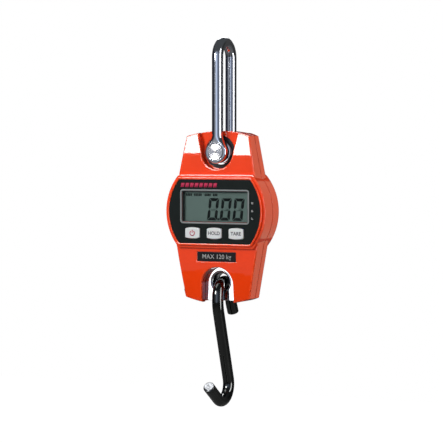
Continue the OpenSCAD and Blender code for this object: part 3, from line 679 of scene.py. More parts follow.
class CRANE_OT_housing(PieceOperator, bpy.types.Operator):
    """Both glossy shells, the seal in their seam, the eye seals and the shell screws"""

    bl_idname = "crane_scale.housing"
    bl_label = "Housing"
    seam_edge = 0.22

    def outside(self, spot, facing):
        """True where the edge is on the outside of the seam."""
        away = facing.x * spot.x + facing.z * spot.z > 0
        return away and (abs(spot.x) > 22 or abs(spot.z) > 50)

    def at_label(self, spot):
        """True round the pocket of the front or rear label."""
        return abs(spot.x) < 15.4 and -36 < spot.z < -27

    def front_radius(self, spot, facing):
        """Radius in millimetres: small at the seam, the recess and the pockets, full on the outside edge."""
        if spot.y > -2.6:
            return self.seam_edge if self.outside(spot, facing) else 0
        if facing.y > -0.15 or spot.y > -6.2:
            return 0
        if spot.y > -7.2:
            return 0.3
        for depth, radius in ((-16, 0.45), (-14.9, 0.2), (-14.6, 0.75), (-12.8, 0.28)):
            if spot.y < depth:
                return radius
        if self.at_label(spot):
            return 0.28
        return sizes().shell_edge / MM if abs(facing.y) < 0.97 else 0

    def rear_radius(self, spot, facing):
        """Radius in millimetres: small round the door, the label and the screws, full on the outside edge."""
        full = sizes().shell_edge / MM
        if spot.y < -1.4:
            return self.seam_edge if self.outside(spot, facing) else 0
        if facing.y < 0.15 or spot.y < 4.9:
            return 0
        at_recess = spot.y < 8 and abs(spot.x) < 17 and spot.z > 25
        at_door = abs(spot.x) < 26.7 and abs(spot.z) < 18 and spot.y > 13.5
        if at_recess:
            return 0.3
        if at_door:
            return 0.35
        if self.at_label(spot):
            return 0.28
        screws, screw_reach = ((19.2, 47.4), (19.8, -55.2), (7.5, 23.8), (0, -21.2)), 3.4
        for x, z in screws:
            if math.hypot(abs(spot.x) - x, spot.z - z) < screw_reach:
                return 0.18
        return full * 0.8 if spot.y > 12.9 else full

    def build(self):
        radius = sizes().shell_edge
        thrown = 0.6 * radius
        for name, node, choose in (
            ("front_shell", "front_housing", self.front_radius),
            ("rear_shell", "rear_housing", self.rear_radius),
        ):
            shell = add_piece(name, node_copy(node), shell_finish(), "housing", [node])
            surface = BVHTree.FromObject(shell, bpy.context.evaluated_depsgraph_get())
            weigh_edges(shell, radius, choose)
            round_edges(shell, radius, 4, limit="WEIGHT")
            settle(shell, surface, thrown)
            flatten_normals(shell)
        rubber = rubber_finish()
        rounded_copies(
            "housing",
            ("seam_gasket", "seam_seal", rubber, "black_rubber", 0.1, 2),
            ("front_eye_gasket", "front_eye_seal", rubber, "black_rubber", 0.3, 3),
            ("rear_eye_gasket", "rear_eye_seal", rubber, "black_rubber", 0.3, 3),
            ("shell_screws", "housing_screws", screw_finish(), "black_screws", 0.12, 2),
        )


class CRANE_OT_shackle(PieceOperator, bpy.types.Operator):
    """The forged shackle with its flared eyes, the pin, its clip and its spacers"""

    bl_idname = "crane_scale.shackle"
    bl_label = "Shackle"
    around = 12

    def eye_outline(self):
        """Height, half width, outward direction and edge radius, from the eye's tip to the rod."""
        s = sizes()
        rod, eye, start = s.rod / 2, s.eye, 3 * MM
        found = []
        turn_to = math.pi - math.acos(start / eye)
        for k in range(1, 29):
            a = turn_to * k / 28
            found.append((PIN_Z - eye * math.cos(a), eye * math.sin(a), math.sin(a), -math.cos(a), EYE_EDGE))
        wide, span = eye * math.sin(turn_to), s.flare - start
        slope = -start / wide
        for k in range(1, 21):
            t = k / 20
            half = (
                (2 * t**3 - 3 * t**2 + 1) * wide + (t**3 - 2 * t**2 + t) * span * slope
                + (3 * t**2 - 2 * t**3) * rod
            )
            lean = (
                (6 * t**2 - 6 * t) * wide + (3 * t**2 - 4 * t + 1) * span * slope
                + (6 * t - 6 * t**2) * rod
            ) / span
            size = math.hypot(1, lean)
            edge = EYE_EDGE + (rod - EYE_EDGE) * t * t * (3 - 2 * t)
            found.append((PIN_Z + (start + span * t), half, 1 / size, -lean / size, min(edge, half)))
        return found

    def half_section(self, rod, edge):
        """Depth and inset of the points round one side of a section, from its outer face to its inner."""
        found = []
        for k in range(self.around + 1):
            a = math.pi / 2 - math.pi * k / self.around
            depth = math.copysign(rod - edge + edge * abs(math.sin(a)), a) if abs(a) > 1e-9 else 0
            found.append((depth, edge * (1 - math.cos(a))))
        return found

    def close_end(self, bm, ring, out, bow, rod):
        """Closes the eye's tip with a row of points on the middle plane."""
        last = self.around
        tip = [
            bm.verts.new((0, out * (bow + depth), PIN_Z - sizes().eye + inset))
            for depth, inset in self.half_section(rod, EYE_EDGE)
        ]
        for k in range(last):
            bm.faces.new([ring[k], ring[k + 1], tip[k + 1], tip[k]])
            bm.faces.new([ring[2 * last + 1 - k], ring[2 * last - k], tip[k + 1], tip[k]])
        bm.faces.new([ring[0], tip[0], ring[2 * last + 1]])
        bm.faces.new([ring[last], tip[last], ring[last + 1]])

    def build(self):
        s = sizes()
        rod = s.rod / 2
        bow = LEG_OUT - rod
        crown_z = -(bow - rod)
        top = PIN_Z + s.flare
        leg = self.eye_outline()
        leg += [(top + (crown_z - top) * k / 12, rod, 1, 0, rod) for k in range(1, 12)]
        stations = [(Vector((0, -bow, z)), Vector((0, -1, 0)), *rest) for z, *rest in leg]
        for k in range(41):
            a = math.pi - math.pi * k / 40
            out = Vector((0, math.cos(a), math.sin(a)))
            stations.append((Vector((0, 0, crown_z)) + out * bow, out, rod, 1, 0, rod))
        stations += [(Vector((0, bow, z)), Vector((0, 1, 0)), *rest) for z, *rest in reversed(leg)]
        bm = bmesh.new()
        rings = []
        for centre, out, x, nx, nz, edge in stations:
            half = self.half_section(rod, edge)
            rings.append([
                bm.verts.new(
                    centre + out * (side * depth) + Vector((side * (x - nx * inset), 0, -nz * inset))
                )
                for side in (1, -1) for depth, inset in half
            ])
        for first, second in zip(rings, rings[1:]):
            stitch(bm, first, second)
        self.close_end(bm, rings[0], -1, bow, rod)
        self.close_end(bm, rings[-1], 1, bow, rod)
        bmesh.ops.remove_doubles(bm, verts=bm.verts, dist=0.003 * MM)
        bmesh.ops.recalc_face_normals(bm, faces=bm.faces)
        steel = steel_finish()
        shackle = add_piece("forged_shackle", bm, steel, "shackle", ["shackle_bow"])
        drill(shackle, s.head / 2 + 0.12 * MM, -LEG_OUT - 2 * MM, -LEG_OUT + 2.2 * MM)
        drill(shackle, s.pin / 2 + 0.03 * MM, -30 * MM, 30 * MM)
        round_edges(shackle, 0.22 * MM, 3, 50)
        self.build_pin(s)
        spring = screw_finish("spring_steel", (0.12, 0.12, 0.125))
        nylon = finish("natural_nylon", (0.80, 0.78, 0.70), rough=(0.35, 0.5), scale=200,
                       subsurface_weight=0.2)
        rounded_copies(
            "shackle",
            ("retaining_clip", "pin_clip", spring, "spring_steel", 0.15, 2),
            ("nylon_spacers", "pin_spacers", nylon, "nylon", 0.25, 3),
        )

    def turned_face(self, inner, outer, front):
        """The shallow rings that a lathe tool leaves on a face."""
        pitch, deep, steps = 0.3 * MM, 0.011 * MM, 6
        count = round((outer - inner) / pitch) * steps
        return [
            (inner + (outer - inner) * i / count, front + deep * (1 - math.cos(math.tau * i / steps)))
            for i in range(count + 1)
        ]

    def build_pin(self, s):
        """The pin: a turned head flush with the eye, a shank, a groove for the clip and a chamfered end."""
        low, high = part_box("shackle_pin")
        clip_low, clip_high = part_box("pin_clip")
        head, shank = s.head / 2, s.pin / 2
        groove, loose = shank - 0.6 * MM, 0.05 * MM
        front, back = low.y, high.y
        profile = [
            (0, front + 0.25 * MM), (0.5 * MM, front + 0.25 * MM), (0.75 * MM, front + 0.04 * MM),
            *self.turned_face(0.9 * MM, head - 0.45 * MM, front),
            (head - 0.2 * MM, front + 0.06 * MM), (head - 0.05 * MM, front + 0.2 * MM),
            (head, front + 0.45 * MM), (head, front + 2.1 * MM), (shank, front + 2.1 * MM),
            (shank, clip_low.y - loose), (groove, clip_low.y - loose),
            (groove, clip_high.y + loose), (shank, clip_high.y + loose),
            (shank, back - 0.35 * MM), (shank - 0.35 * MM, back), (0, back),
        ]
        steel = finish(
            "turned_pin_head", (0.52, 0.51, 0.52), rough=(0.14, 0.26), metal=1.0,
            rings=((0.0, 0.0, PIN_Z), 9000.0), bump=0.1, depth=0.006, scale=120, anisotropic=0.3,
        )
        tangent = add_node(steel.node_tree, "ShaderNodeTangent", direction_type="RADIAL", axis="Y")
        shader = steel.node_tree.nodes["Principled BSDF"]
        steel.node_tree.links.new(tangent.outputs[0], shader.inputs["Tangent"])
        solid = turned(profile, (0, 0, PIN_Z), 96)
        pin = add_piece("turned_pin", solid, steel, "shackle", ["shackle_pin"])
        keep_creases(pin, 28)


class CRANE_OT_hook(PieceOperator, bpy.types.Operator):
    """The dark plated hook with its cut ends, and the hard bush that carries it"""

    bl_idname = "crane_scale.hook"
    bl_label = "Hook"

    def centreline(self):
        """Points from the tail's cut end over the loop, down the shank and round to the open arm's tip."""
        s = sizes()
        loop_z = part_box("hook")[1].z - s.loop - s.hook_rod / 2
        neck_y, neck_z = s.neck - s.loop, loop_z - s.neck_drop
        bowl_y, bowl_z = -s.forward, loop_z - s.drop
        across, down = neck_y - bowl_y, neck_z - bowl_z
        reach = s.neck + s.bowl
        straight = math.sqrt(across**2 + down**2 - reach**2)
        lean = math.atan2(down, across) - math.atan2(straight, reach)
        tail_y, tail_z = s.loop + s.tail_bend, loop_z - 1 * MM
        tail = arc(tail_y, tail_z, s.tail_bend, math.pi + s.tail_lean, math.pi, 10)
        end_way = Vector((0, math.cos(s.tail_lean - math.pi / 2), math.sin(s.tail_lean - math.pi / 2)))
        points = [tail[0] + end_way * s.tail_end * k for k in (1, 0.66, 0.33)] + tail
        points += arc(0, loop_z, s.loop, 0, math.pi, 36)
        points += arc(neck_y, neck_z, s.neck, math.pi, math.pi + lean, 10)
        begin = arc(bowl_y, bowl_z, s.bowl, lean, -math.pi / 2 - s.arm_rise, 40)
        run = begin[0] - points[-1]
        last = points[-1].copy()
        points += [last + run * k / 12 for k in range(1, 12)]
        points += begin
        tip_way = Vector((0, math.cos(math.pi - s.arm_rise), math.sin(math.pi - s.arm_rise)))
        last = points[-1].copy()
        points += [last + tip_way * s.arm * k / 5 for k in range(1, 6)]
        return points

    def build(self):
        s, c = sizes(), colours()
        points, radii = capped(self.centreline(), s.hook_rod / 2, 0.45 * MM)
        bm = swept(points, radii, 48)
        steel = finish(
            "dark_chrome_hook", c.dark_chrome, rough=(0.05, 0.12), metal=1.0, edge=c.cut_steel, wear=1.0,
            scale=95, vary=(0.85, 1.12), bump=0.03, depth=0.03, specks=0.2, speck_tint=(0.3, 0.3, 0.3),
            coat_weight=0.5, coat_roughness=0.03,
        )
        hook = add_piece("plated_hook", bm, steel, "hook", ["hook"])
        mark_wear_and_highlight(hook.data, [len(face.vertices) > 8 for face in hook.data.polygons])
        keep_creases(hook, 40)
        low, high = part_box("hook_bush")
        bore, outer = s.hook_rod / 2 + 2 * MM, (high.z - low.z) / 2
        profile = []
        flare = 1.4 * MM
        for side in (-1, 1):
            y = high.y * side
            rim = [
                (bore + flare * 0.02, y - side * flare), (bore + flare * 0.25, y - side * flare * 0.55),
                (bore + flare * 0.6, y - side * flare * 0.2), (bore + flare, y), (outer - 0.4 * MM, y),
                (outer - 0.1 * MM, y - side * 0.1 * MM), (outer, y - side * 0.4 * MM),
            ]
            profile += rim if side < 0 else rim[::-1]
        profile.append(profile[0])
        hard = finish("polished_bush", (0.74, 0.75, 0.77), rough=(0.05, 0.12), metal=1.0,
                      rings=((0.0, 0.0, BUSH_Z), 7000.0), bump=0.1, depth=0.01, scale=150)
        bm = turned(profile, (0, 0, BUSH_Z), 72)
        bmesh.ops.remove_doubles(bm, verts=bm.verts, dist=0.001 * MM)
        bmesh.ops.recalc_face_normals(bm, faces=bm.faces)
        bush = add_piece("hard_bush", bm, hard, "hook_bush", ["hook_bush"])
        keep_creases(bush, 35)


class CRANE_OT_load_cell(PieceOperator, bpy.types.Operator):
    """The ground load cell with its gauges, their cover, its screws and its lead"""

    bl_idname = "crane_scale.load_cell"
    bl_label = "Load Cell"

    def build(self):
        ground = finish("ground_cell", (0.86, 0.87, 0.88), rough=(0.05, 0.13), metal=1.0,
                        edge=(0.95, 0.95, 0.96), wear=0.6, lines=(2500.0, 200.0, 60.0), bump=0.05,
                        depth=0.01, scale=90)
        foil = finish("gauge_foil", (0.62, 0.38, 0.09), rough=(0.3, 0.5), lines=(300.0, 300.0, 6000.0),
                      bump=0.3, scale=400, vary=(0.7, 1.2))
        sealant = finish("soft_sealant", (0.75, 0.75, 0.71), rough=(0.35, 0.6), scale=160, bump=0.5,
                         depth=0.2, subsurface_weight=0.15)
        rounded_copies(
            "housing",
            ("ground_load_cell", "load_cell", ground, "machined_cell", 0.35, 3),
            ("gauge_sealant", "gauge_cover", sealant, "silicone", 0.25, 3),
            ("cell_bolts", "cell_screws", screw_finish(), "black_screws", 0.12, 2),
        )
        dress("strain_gauges", foil)
        dress("cell_lead", finish("red_lead", (0.50, 0.025, 0.02), rough=(0.3, 0.45), scale=260, bump=0.1))


def segment_shapes(which, x, z, wide, high, stroke, lean):
    """Outlines of the seven-segment shapes named in which, for a digit whose lower left corner is x, z."""
    gap = stroke * 0.14
    mid = high / 2
    cut = stroke * 0.5

    def flat(level, top):
        a, b = x + gap, x + wide - gap
        inner = stroke * 0.9
        if top is None:
            return [(a + cut, level), (a + stroke, level + stroke / 2), (b - stroke, level + stroke / 2),
                    (b - cut, level), (b - stroke, level - stroke / 2), (a + stroke, level - stroke / 2)]
        if top:
            return [(a, level), (b, level), (b - inner, level - stroke), (a + inner, level - stroke)]
        return [(a, level), (a + inner, level + stroke), (b - inner, level + stroke), (b, level)]

    def upright(left, upper):
        a = x if left else x + wide
        deep = a + (stroke if left else -stroke)
        half = a + (cut if left else -cut)
        if upper:
            return [(a, z + high - gap), (deep, z + high - gap - stroke), (deep, z + mid + gap + cut),
                    (half, z + mid + gap), (a, z + mid + gap + cut)]
        return [(a, z + gap), (a, z + mid - gap - cut), (half, z + mid - gap),
                (deep, z + mid - gap - cut), (deep, z + gap + stroke)]

    parts = {
        "a": flat(z + high, True), "g": flat(z + mid, None), "d": flat(z, False),
        "f": upright(True, True), "e": upright(True, False),
        "b": upright(False, True), "c": upright(False, False),
    }
    return [[(px + (pz - z) * lean, pz) for px, pz in parts[key]] for key in which]


class CRANE_OT_display(PieceOperator, bpy.types.Operator):
    """The panel with its marks, the window, its frame, and the liquid crystal display with its reading"""

    bl_idname = "crane_scale.display"
    bl_label = "Display"

    def build(self):
        c = colours()
        sheet = finish("panel_sheet", c.panel, rough=(0.16, 0.22), edge=(0.03, 0.035, 0.035), scale=140,
                       bump=0.02, depth=0.01, specks=0.05, speck_tint=(0.08, 0.09, 0.09),
                       specular_ior_level=0.1)
        line = finish("frame_line", c.frame_line, rough=(0.35, 0.5), scale=260,
                      edge=shade(c.frame_line, 1.2), bump=0.08)
        clear = finish("clear_window", (0.02, 0.022, 0.022), rough=(0.01, 0.04), scale=30, bump=0.005,
                       depth=0.01, alpha=0.04)
        rounded_copies(
            "housing",
            ("panel_sheet", "display_panel", sheet, "panel_black", 0.15, 2),
            ("window_frame_line", "window_frame", line, "frame_grey", 0.1, 2),
            ("clear_pane", "display_window", clear, "clear_window", 0.08, 2),
        )
        self.liner()
        self.marks(c)
        self.reading(sizes(), c)

    def liner(self):
        """Black lining of the window, from the panel back to the glass."""
        low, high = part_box("display_window")
        loose = 0.03 * MM
        wide, tall = (high.x - low.x) / 2 - loose, (high.z - low.z) / 2 - loose
        front, back = high.y - loose, GLASS_Y - 0.02 * MM
        profile = (
            (0.0, front), (0.5 * MM, front), (0.55 * MM, front + 0.05 * MM), (0.55 * MM, back),
            (0.4 * MM, back), (0.4 * MM, front + 0.02 * MM), (0.0, front + 0.02 * MM),
        )
        bm = bmesh.new()
        rings = []
        for inset, y in profile:
            w, h = wide - inset, tall - inset
            corners = [(-w, -h), (w, -h), (w, h), (-w, h)]
            rings.append([bm.verts.new((x, y, WINDOW_Z + z)) for x, z in corners])
        for first, second in zip(rings, rings[1:] + rings[:1]):
            stitch(bm, first, second)
        bmesh.ops.recalc_face_normals(bm, faces=bm.faces)
        black = finish("window_liner", (0.008, 0.009, 0.009), rough=(0.4, 0.6), scale=200, bump=0.1)
        liner = add_piece("window_liner", bm, black, "housing")
        keep_creases(liner, 30)

    def marks(self, c):
        """Coloured bars above the window and three small unit marks beside it."""
        low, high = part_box("window_frame")
        y = PANEL_Y - PRINT
        bars = [
            slanted(low.x + (0.2 + 3.6 * k) * MM, high.z + 1.5 * MM, 2.7 * MM, 2.9 * MM, 0.6 * MM)
            for k in range(8)
        ]
        ink = ink_finish("red_mark", c.mark, 0.1)
        add_piece("panel_bars", plates(bars, y, PRINT), ink, "housing")
        left, line = high.x + 1.7 * MM, 0.45 * MM
        small = []
        for k, z in enumerate((2.2, -3.2, -8.4)):
            small.append(slanted(left, WINDOW_Z + z * MM, 1.5 * MM, line))
            small.append(slanted(left, WINDOW_Z + (z + 0.8) * MM, (1.5 - 0.35 * k) * MM, line))
        pale = ink_finish("pale_mark", (0.42, 0.43, 0.43), 0.1)
        add_piece("unit_marks", plates(small, y, PRINT), pale, "housing")

    def reading(self, s, c):
        """The grey glass with driven and resting segments, a row of signs and a point."""
        glass = dict(rough=(0.30, 0.42), scale=35, vary=(0.95, 1.05), lines=(5000.0, 50.0, 80.0),
                     bump=0.04, depth=0.01, specular_ior_level=0.1)
        dress("lcd_glass", finish("display_glass", c.glass, **glass))
        low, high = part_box("display_window")
        lean = 0.12
        z = WINDOW_Z - s.digit_high / 2 - 1.9 * MM
        first = -7.3 * MM
        driven, resting = [], []
        for k in range(3):
            digit = (first + k * s.digit_pitch, z, s.digit_wide, s.digit_high, s.stroke, lean)
            driven += segment_shapes("abcdef", *digit)
            resting += segment_shapes("g", *digit)
        point = first + s.digit_wide + 0.35 * MM
        driven.append(slanted(point, z, 1.5 * MM, 1.6 * MM, 0.15 * MM))
        pitch = 1.2
        for x, wide in ((-23.6, 5.2), (-17.2, 6.4), (-9.0, 5.0), (-2.6, 3.6)):
            for k in range(int(wide / pitch)):
                driven.append(slanted((x + pitch * k) * MM, high.z - 3.7 * MM, 0.95 * MM, 1.75 * MM))
        base, tip = low.z + 3.0 * MM, low.z + 4.4 * MM
        resting.append([(23.0 * MM, base), (24.2 * MM, base), (23.6 * MM, tip)])
        dark = finish("driven_segment", c.segment, rough=(0.35, 0.5), scale=200, bump=0.02,
                      specular_ior_level=0.1)
        faint = finish("resting_segment", shade(c.glass, 0.985), **glass)
        thin = PRINT * 0.6
        add_piece("driven_segments", plates(driven, GLASS_Y - PRINT, PRINT), dark, "housing")
        add_piece("resting_segments", plates(resting, GLASS_Y - thin, thin), faint, "housing")


class CRANE_OT_keys(PieceOperator, bpy.types.Operator):
    """The three soft-edged keys with their signs, and the switch plungers behind them"""

    bl_idname = "crane_scale.keys"
    bl_label = "Keys"

    def build(self):
        s, c = sizes(), colours()
        cap = finish("key_cap", c.key, rough=(0.28, 0.4), edge=shade(c.key, 1.1), wear=0.5, scale=150,
                     vary=(0.97, 1.02), bump=0.05, subsurface_weight=0.12, coat_weight=0.2)
        rod = finish("plunger", (0.06, 0.06, 0.062), rough=(0.3, 0.45), scale=300,
                     edge=(0.14, 0.14, 0.14), bump=0.1)
        grey = ink_finish("key_legend", c.legend)
        red = ink_finish("key_sign", c.mark)
        for key, words in (("power", None), ("hold", "HOLD"), ("tare", "TARE")):
            node = body = key + "_key"
            rounded_copies(
                body,
                (key + "_cap", node, cap, "key_white", s.key_edge / MM, 4),
                (key + "_rod", key + "_plunger", rod, "plunger", 0.15, 2),
            )
            x, y, z = middle(node).x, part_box(node)[0].y, middle(node).z
            if words:
                letters = lettering(words, 3.3 * MM, x, z, y, 0.1 * MM)
                add_piece(key + "_legend", letters, grey, body)
            else:
                start, stop = math.radians(125), math.radians(415)
                sign = plates([
                    ring_outline(x, z - 0.1 * MM, 2.05 * MM, 1.4 * MM, start, stop),
                    slanted(x - 0.3 * MM, z + 0.1 * MM, 0.6 * MM, 2.1 * MM),
                ], y - PRINT, PRINT)
                add_piece("power_sign", sign, red, body)


class CRANE_OT_electronics(PieceOperator, bpy.types.Operator):
    """The board with its chips, switches and screws, and the display's holder, light and contact strip"""

    bl_idname = "crane_scale.electronics"
    bl_label = "Electronics"

    def build(self):
        board = finish("solder_mask", (0.02, 0.13, 0.045), rough=(0.25, 0.4), lines=(900.0, 30.0, 900.0),
                       scale=500, vary=(0.6, 1.5), bump=0.3, depth=0.03, coat_weight=0.4)
        epoxy = finish("chip_epoxy", (0.02, 0.02, 0.022), rough=(0.4, 0.6), scale=500,
                       edge=(0.06, 0.06, 0.06), bump=0.25, specks=0.3, speck_tint=(0.1, 0.1, 0.1))
        zinc = screw_finish("zinc_screw", (0.6, 0.6, 0.58))
        holder = finish("holder_plastic", (0.02, 0.02, 0.021), rough=(0.4, 0.6), scale=240,
                        edge=(0.05, 0.05, 0.05), bump=0.2)
        light = finish("light_guide", (0.75, 0.80, 0.72), rough=(0.3, 0.5), scale=300, bump=0.15,
                       subsurface_weight=0.3)
        zebra = finish("contact_rubber", (0.35, 0.15, 0.15), rough=(0.5, 0.7), lines=(9000.0, 20.0, 20.0),
                       scale=200, vary=(0.5, 1.4), bump=0.3)
        rounded_copies(
            "housing",
            ("circuit_board", "main_board", board, "circuit_board", 0.12, 2),
            ("chip_packages", "board_chips", epoxy, "chips", 0.12, 2),
            ("switch_housings", "switch_bodies", epoxy, "chips", 0.15, 2),
            ("board_fixings", "board_screws", zinc, "zinc_screws", 0.1, 2),
            ("display_holder", "lcd_holder", holder, "holder_black", 0.15, 2),
            ("light_guide", "lcd_backlight", light, "backlight", 0.15, 2),
            ("contact_strip", "zebra_strip", zebra, "zebra", 0.2, 2),
        )


class CRANE_OT_batteries(PieceOperator, bpy.types.Operator):
    """The three cells, their coil springs, plates and leads"""

    bl_idname = "crane_scale.batteries"
    bl_label = "Batteries"

    def build(self):
        low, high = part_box("battery_cells")
        pitch = ((high.z - low.z) - (high.y - low.y)) / 2
        radius, y = (high.y - low.y) / 2, (high.y + low.y) / 2
        half = (high.x - low.x) / 2
        wrap = finish("printed_jacket", (0.05, 0.06, 0.075), rough=(0.2, 0.32), metal=0.6, scale=70,
                      bump=0.05, lines=(40.0, 900.0, 900.0), edge=(0.5, 0.5, 0.48), wear=0.9)
        coil = finish("nickel_wire", (0.66, 0.65, 0.61), rough=(0.14, 0.25), metal=1.0, scale=400, bump=0.1)
        profile = [
            (0, -half), (radius * 0.55, -half), (radius * 0.62, -half + 0.25 * MM),
            (radius - 0.6 * MM, -half + 0.2 * MM), (radius - 0.15 * MM, -half + 0.45 * MM),
            (radius, -half + 1.0 * MM), (radius, half - 2.2 * MM), (radius - 0.15 * MM, half - 1.5 * MM),
            (radius - 0.8 * MM, half - 1.1 * MM), (2.4 * MM, half - 1.0 * MM),
            (1.95 * MM, half - 0.9 * MM), (1.9 * MM, half - 0.25 * MM), (1.6 * MM, half), (0, half),
        ]
        wire = 0.35 * MM
        turns, steps = 3.2, 90
        span = abs(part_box("battery_springs")[1].x) - half - 2 * wire
        for k in (-1, 0, 1):
            side = -1 if k == 0 else 1
            z = (low.z + high.z) / 2 + k * pitch
            bm = turned([(r, side * p) for r, p in profile], (0, y, z), 48, "X")
            stands_for = ["battery_cells"] if k == -1 else ()
            cell = add_piece("cell_%d" % (k + 2), bm, wrap, "housing", stands_for)
            mark_wear_and_highlight(cell.data, [abs(f.center.x) > half - 1.2 * MM for f in cell.data.polygons])
            points = []
            for i in range(steps + 1):
                t = i / steps
                a = math.tau * turns * t
                r = (2.0 + 1.2 * t) * MM
                x = -side * (half + wire + span * min(1, max(0, (t - 0.12) / 0.76)))
                points.append(Vector((x, y + r * math.cos(a), z + r * math.sin(a))))
            bm = swept(points, [wire] * len(points), 10)
            stands_for = ["battery_springs"] if k == -1 else ()
            add_piece("coil_%d" % (k + 2), bm, coil, "housing", stands_for)
        plate = finish("nickel_plate", (0.66, 0.64, 0.58), rough=(0.2, 0.35), metal=1.0,
                       lines=(60.0, 1500.0, 1500.0), scale=200, bump=0.1, edge=(0.8, 0.79, 0.74))
        rounded_copies("housing", ("contact_plates", "battery_plates", plate, "nickel_plate", 0.08, 2))
        dress("battery_leads", finish("red_lead", (0.50, 0.025, 0.02)))


class CRANE_OT_door(PieceOperator, bpy.types.Operator):
    """The battery door with its captive screw and its seal"""

    bl_idname = "crane_scale.door"
    bl_label = "Battery Door"

    def build(self):
        rounded_copies(
            "battery_door",
            ("door_lid", "battery_door", shell_finish(), "orange_shell", sizes().door_edge / MM, 3),
            ("door_bolt", "door_screw", screw_finish(), "black_screws", 0.12, 2),
            ("door_gasket", "door_seal", rubber_finish(), "black_rubber", 0.05, 2),
        )


class CRANE_OT_labels(PieceOperator, bpy.types.Operator):
    """The capacity label in front and the cell label behind"""

    bl_idname = "crane_scale.labels"
    bl_label = "Labels"

    def build(self):
        c = colours()
        black = finish("label_foil", c.label, rough=(0.16, 0.24), scale=160, edge=(0.05, 0.05, 0.05),
                       bump=0.03, specks=0.08, speck_tint=(0.12, 0.12, 0.12), specular_ior_level=0.15)
        silver = finish("silver_foil", (0.62, 0.62, 0.62), rough=(0.25, 0.4), metal=0.5,
                        lines=(30.0, 900.0, 1500.0), scale=120, bump=0.06, edge=(0.75, 0.75, 0.75))
        print_ink, dark = ink_finish("label_print", c.print), ink_finish("dark_print", (0.03, 0.03, 0.032))
        for name, node, foil, slot, words, high, bold, ink, facing in (
            ("capacity", "capacity_label", black, "label_black", "MAX 120 kg", 4.4, 0.02, print_ink, -1),
            ("cell", "rear_label", silver, "label_silver", "3 x AAA 1.5 V", 3.6, 0.04, dark, 1),
        ):
            rounded_copies("housing", (name + "_foil", node, foil, slot, 0.1, 2))
            face_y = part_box(node)[0 if facing < 0 else 1].y
            letters = lettering(words, high * MM, 0, middle(node).z, face_y, bold * MM, facing)
            add_piece(name + "_print", letters, ink, "housing")


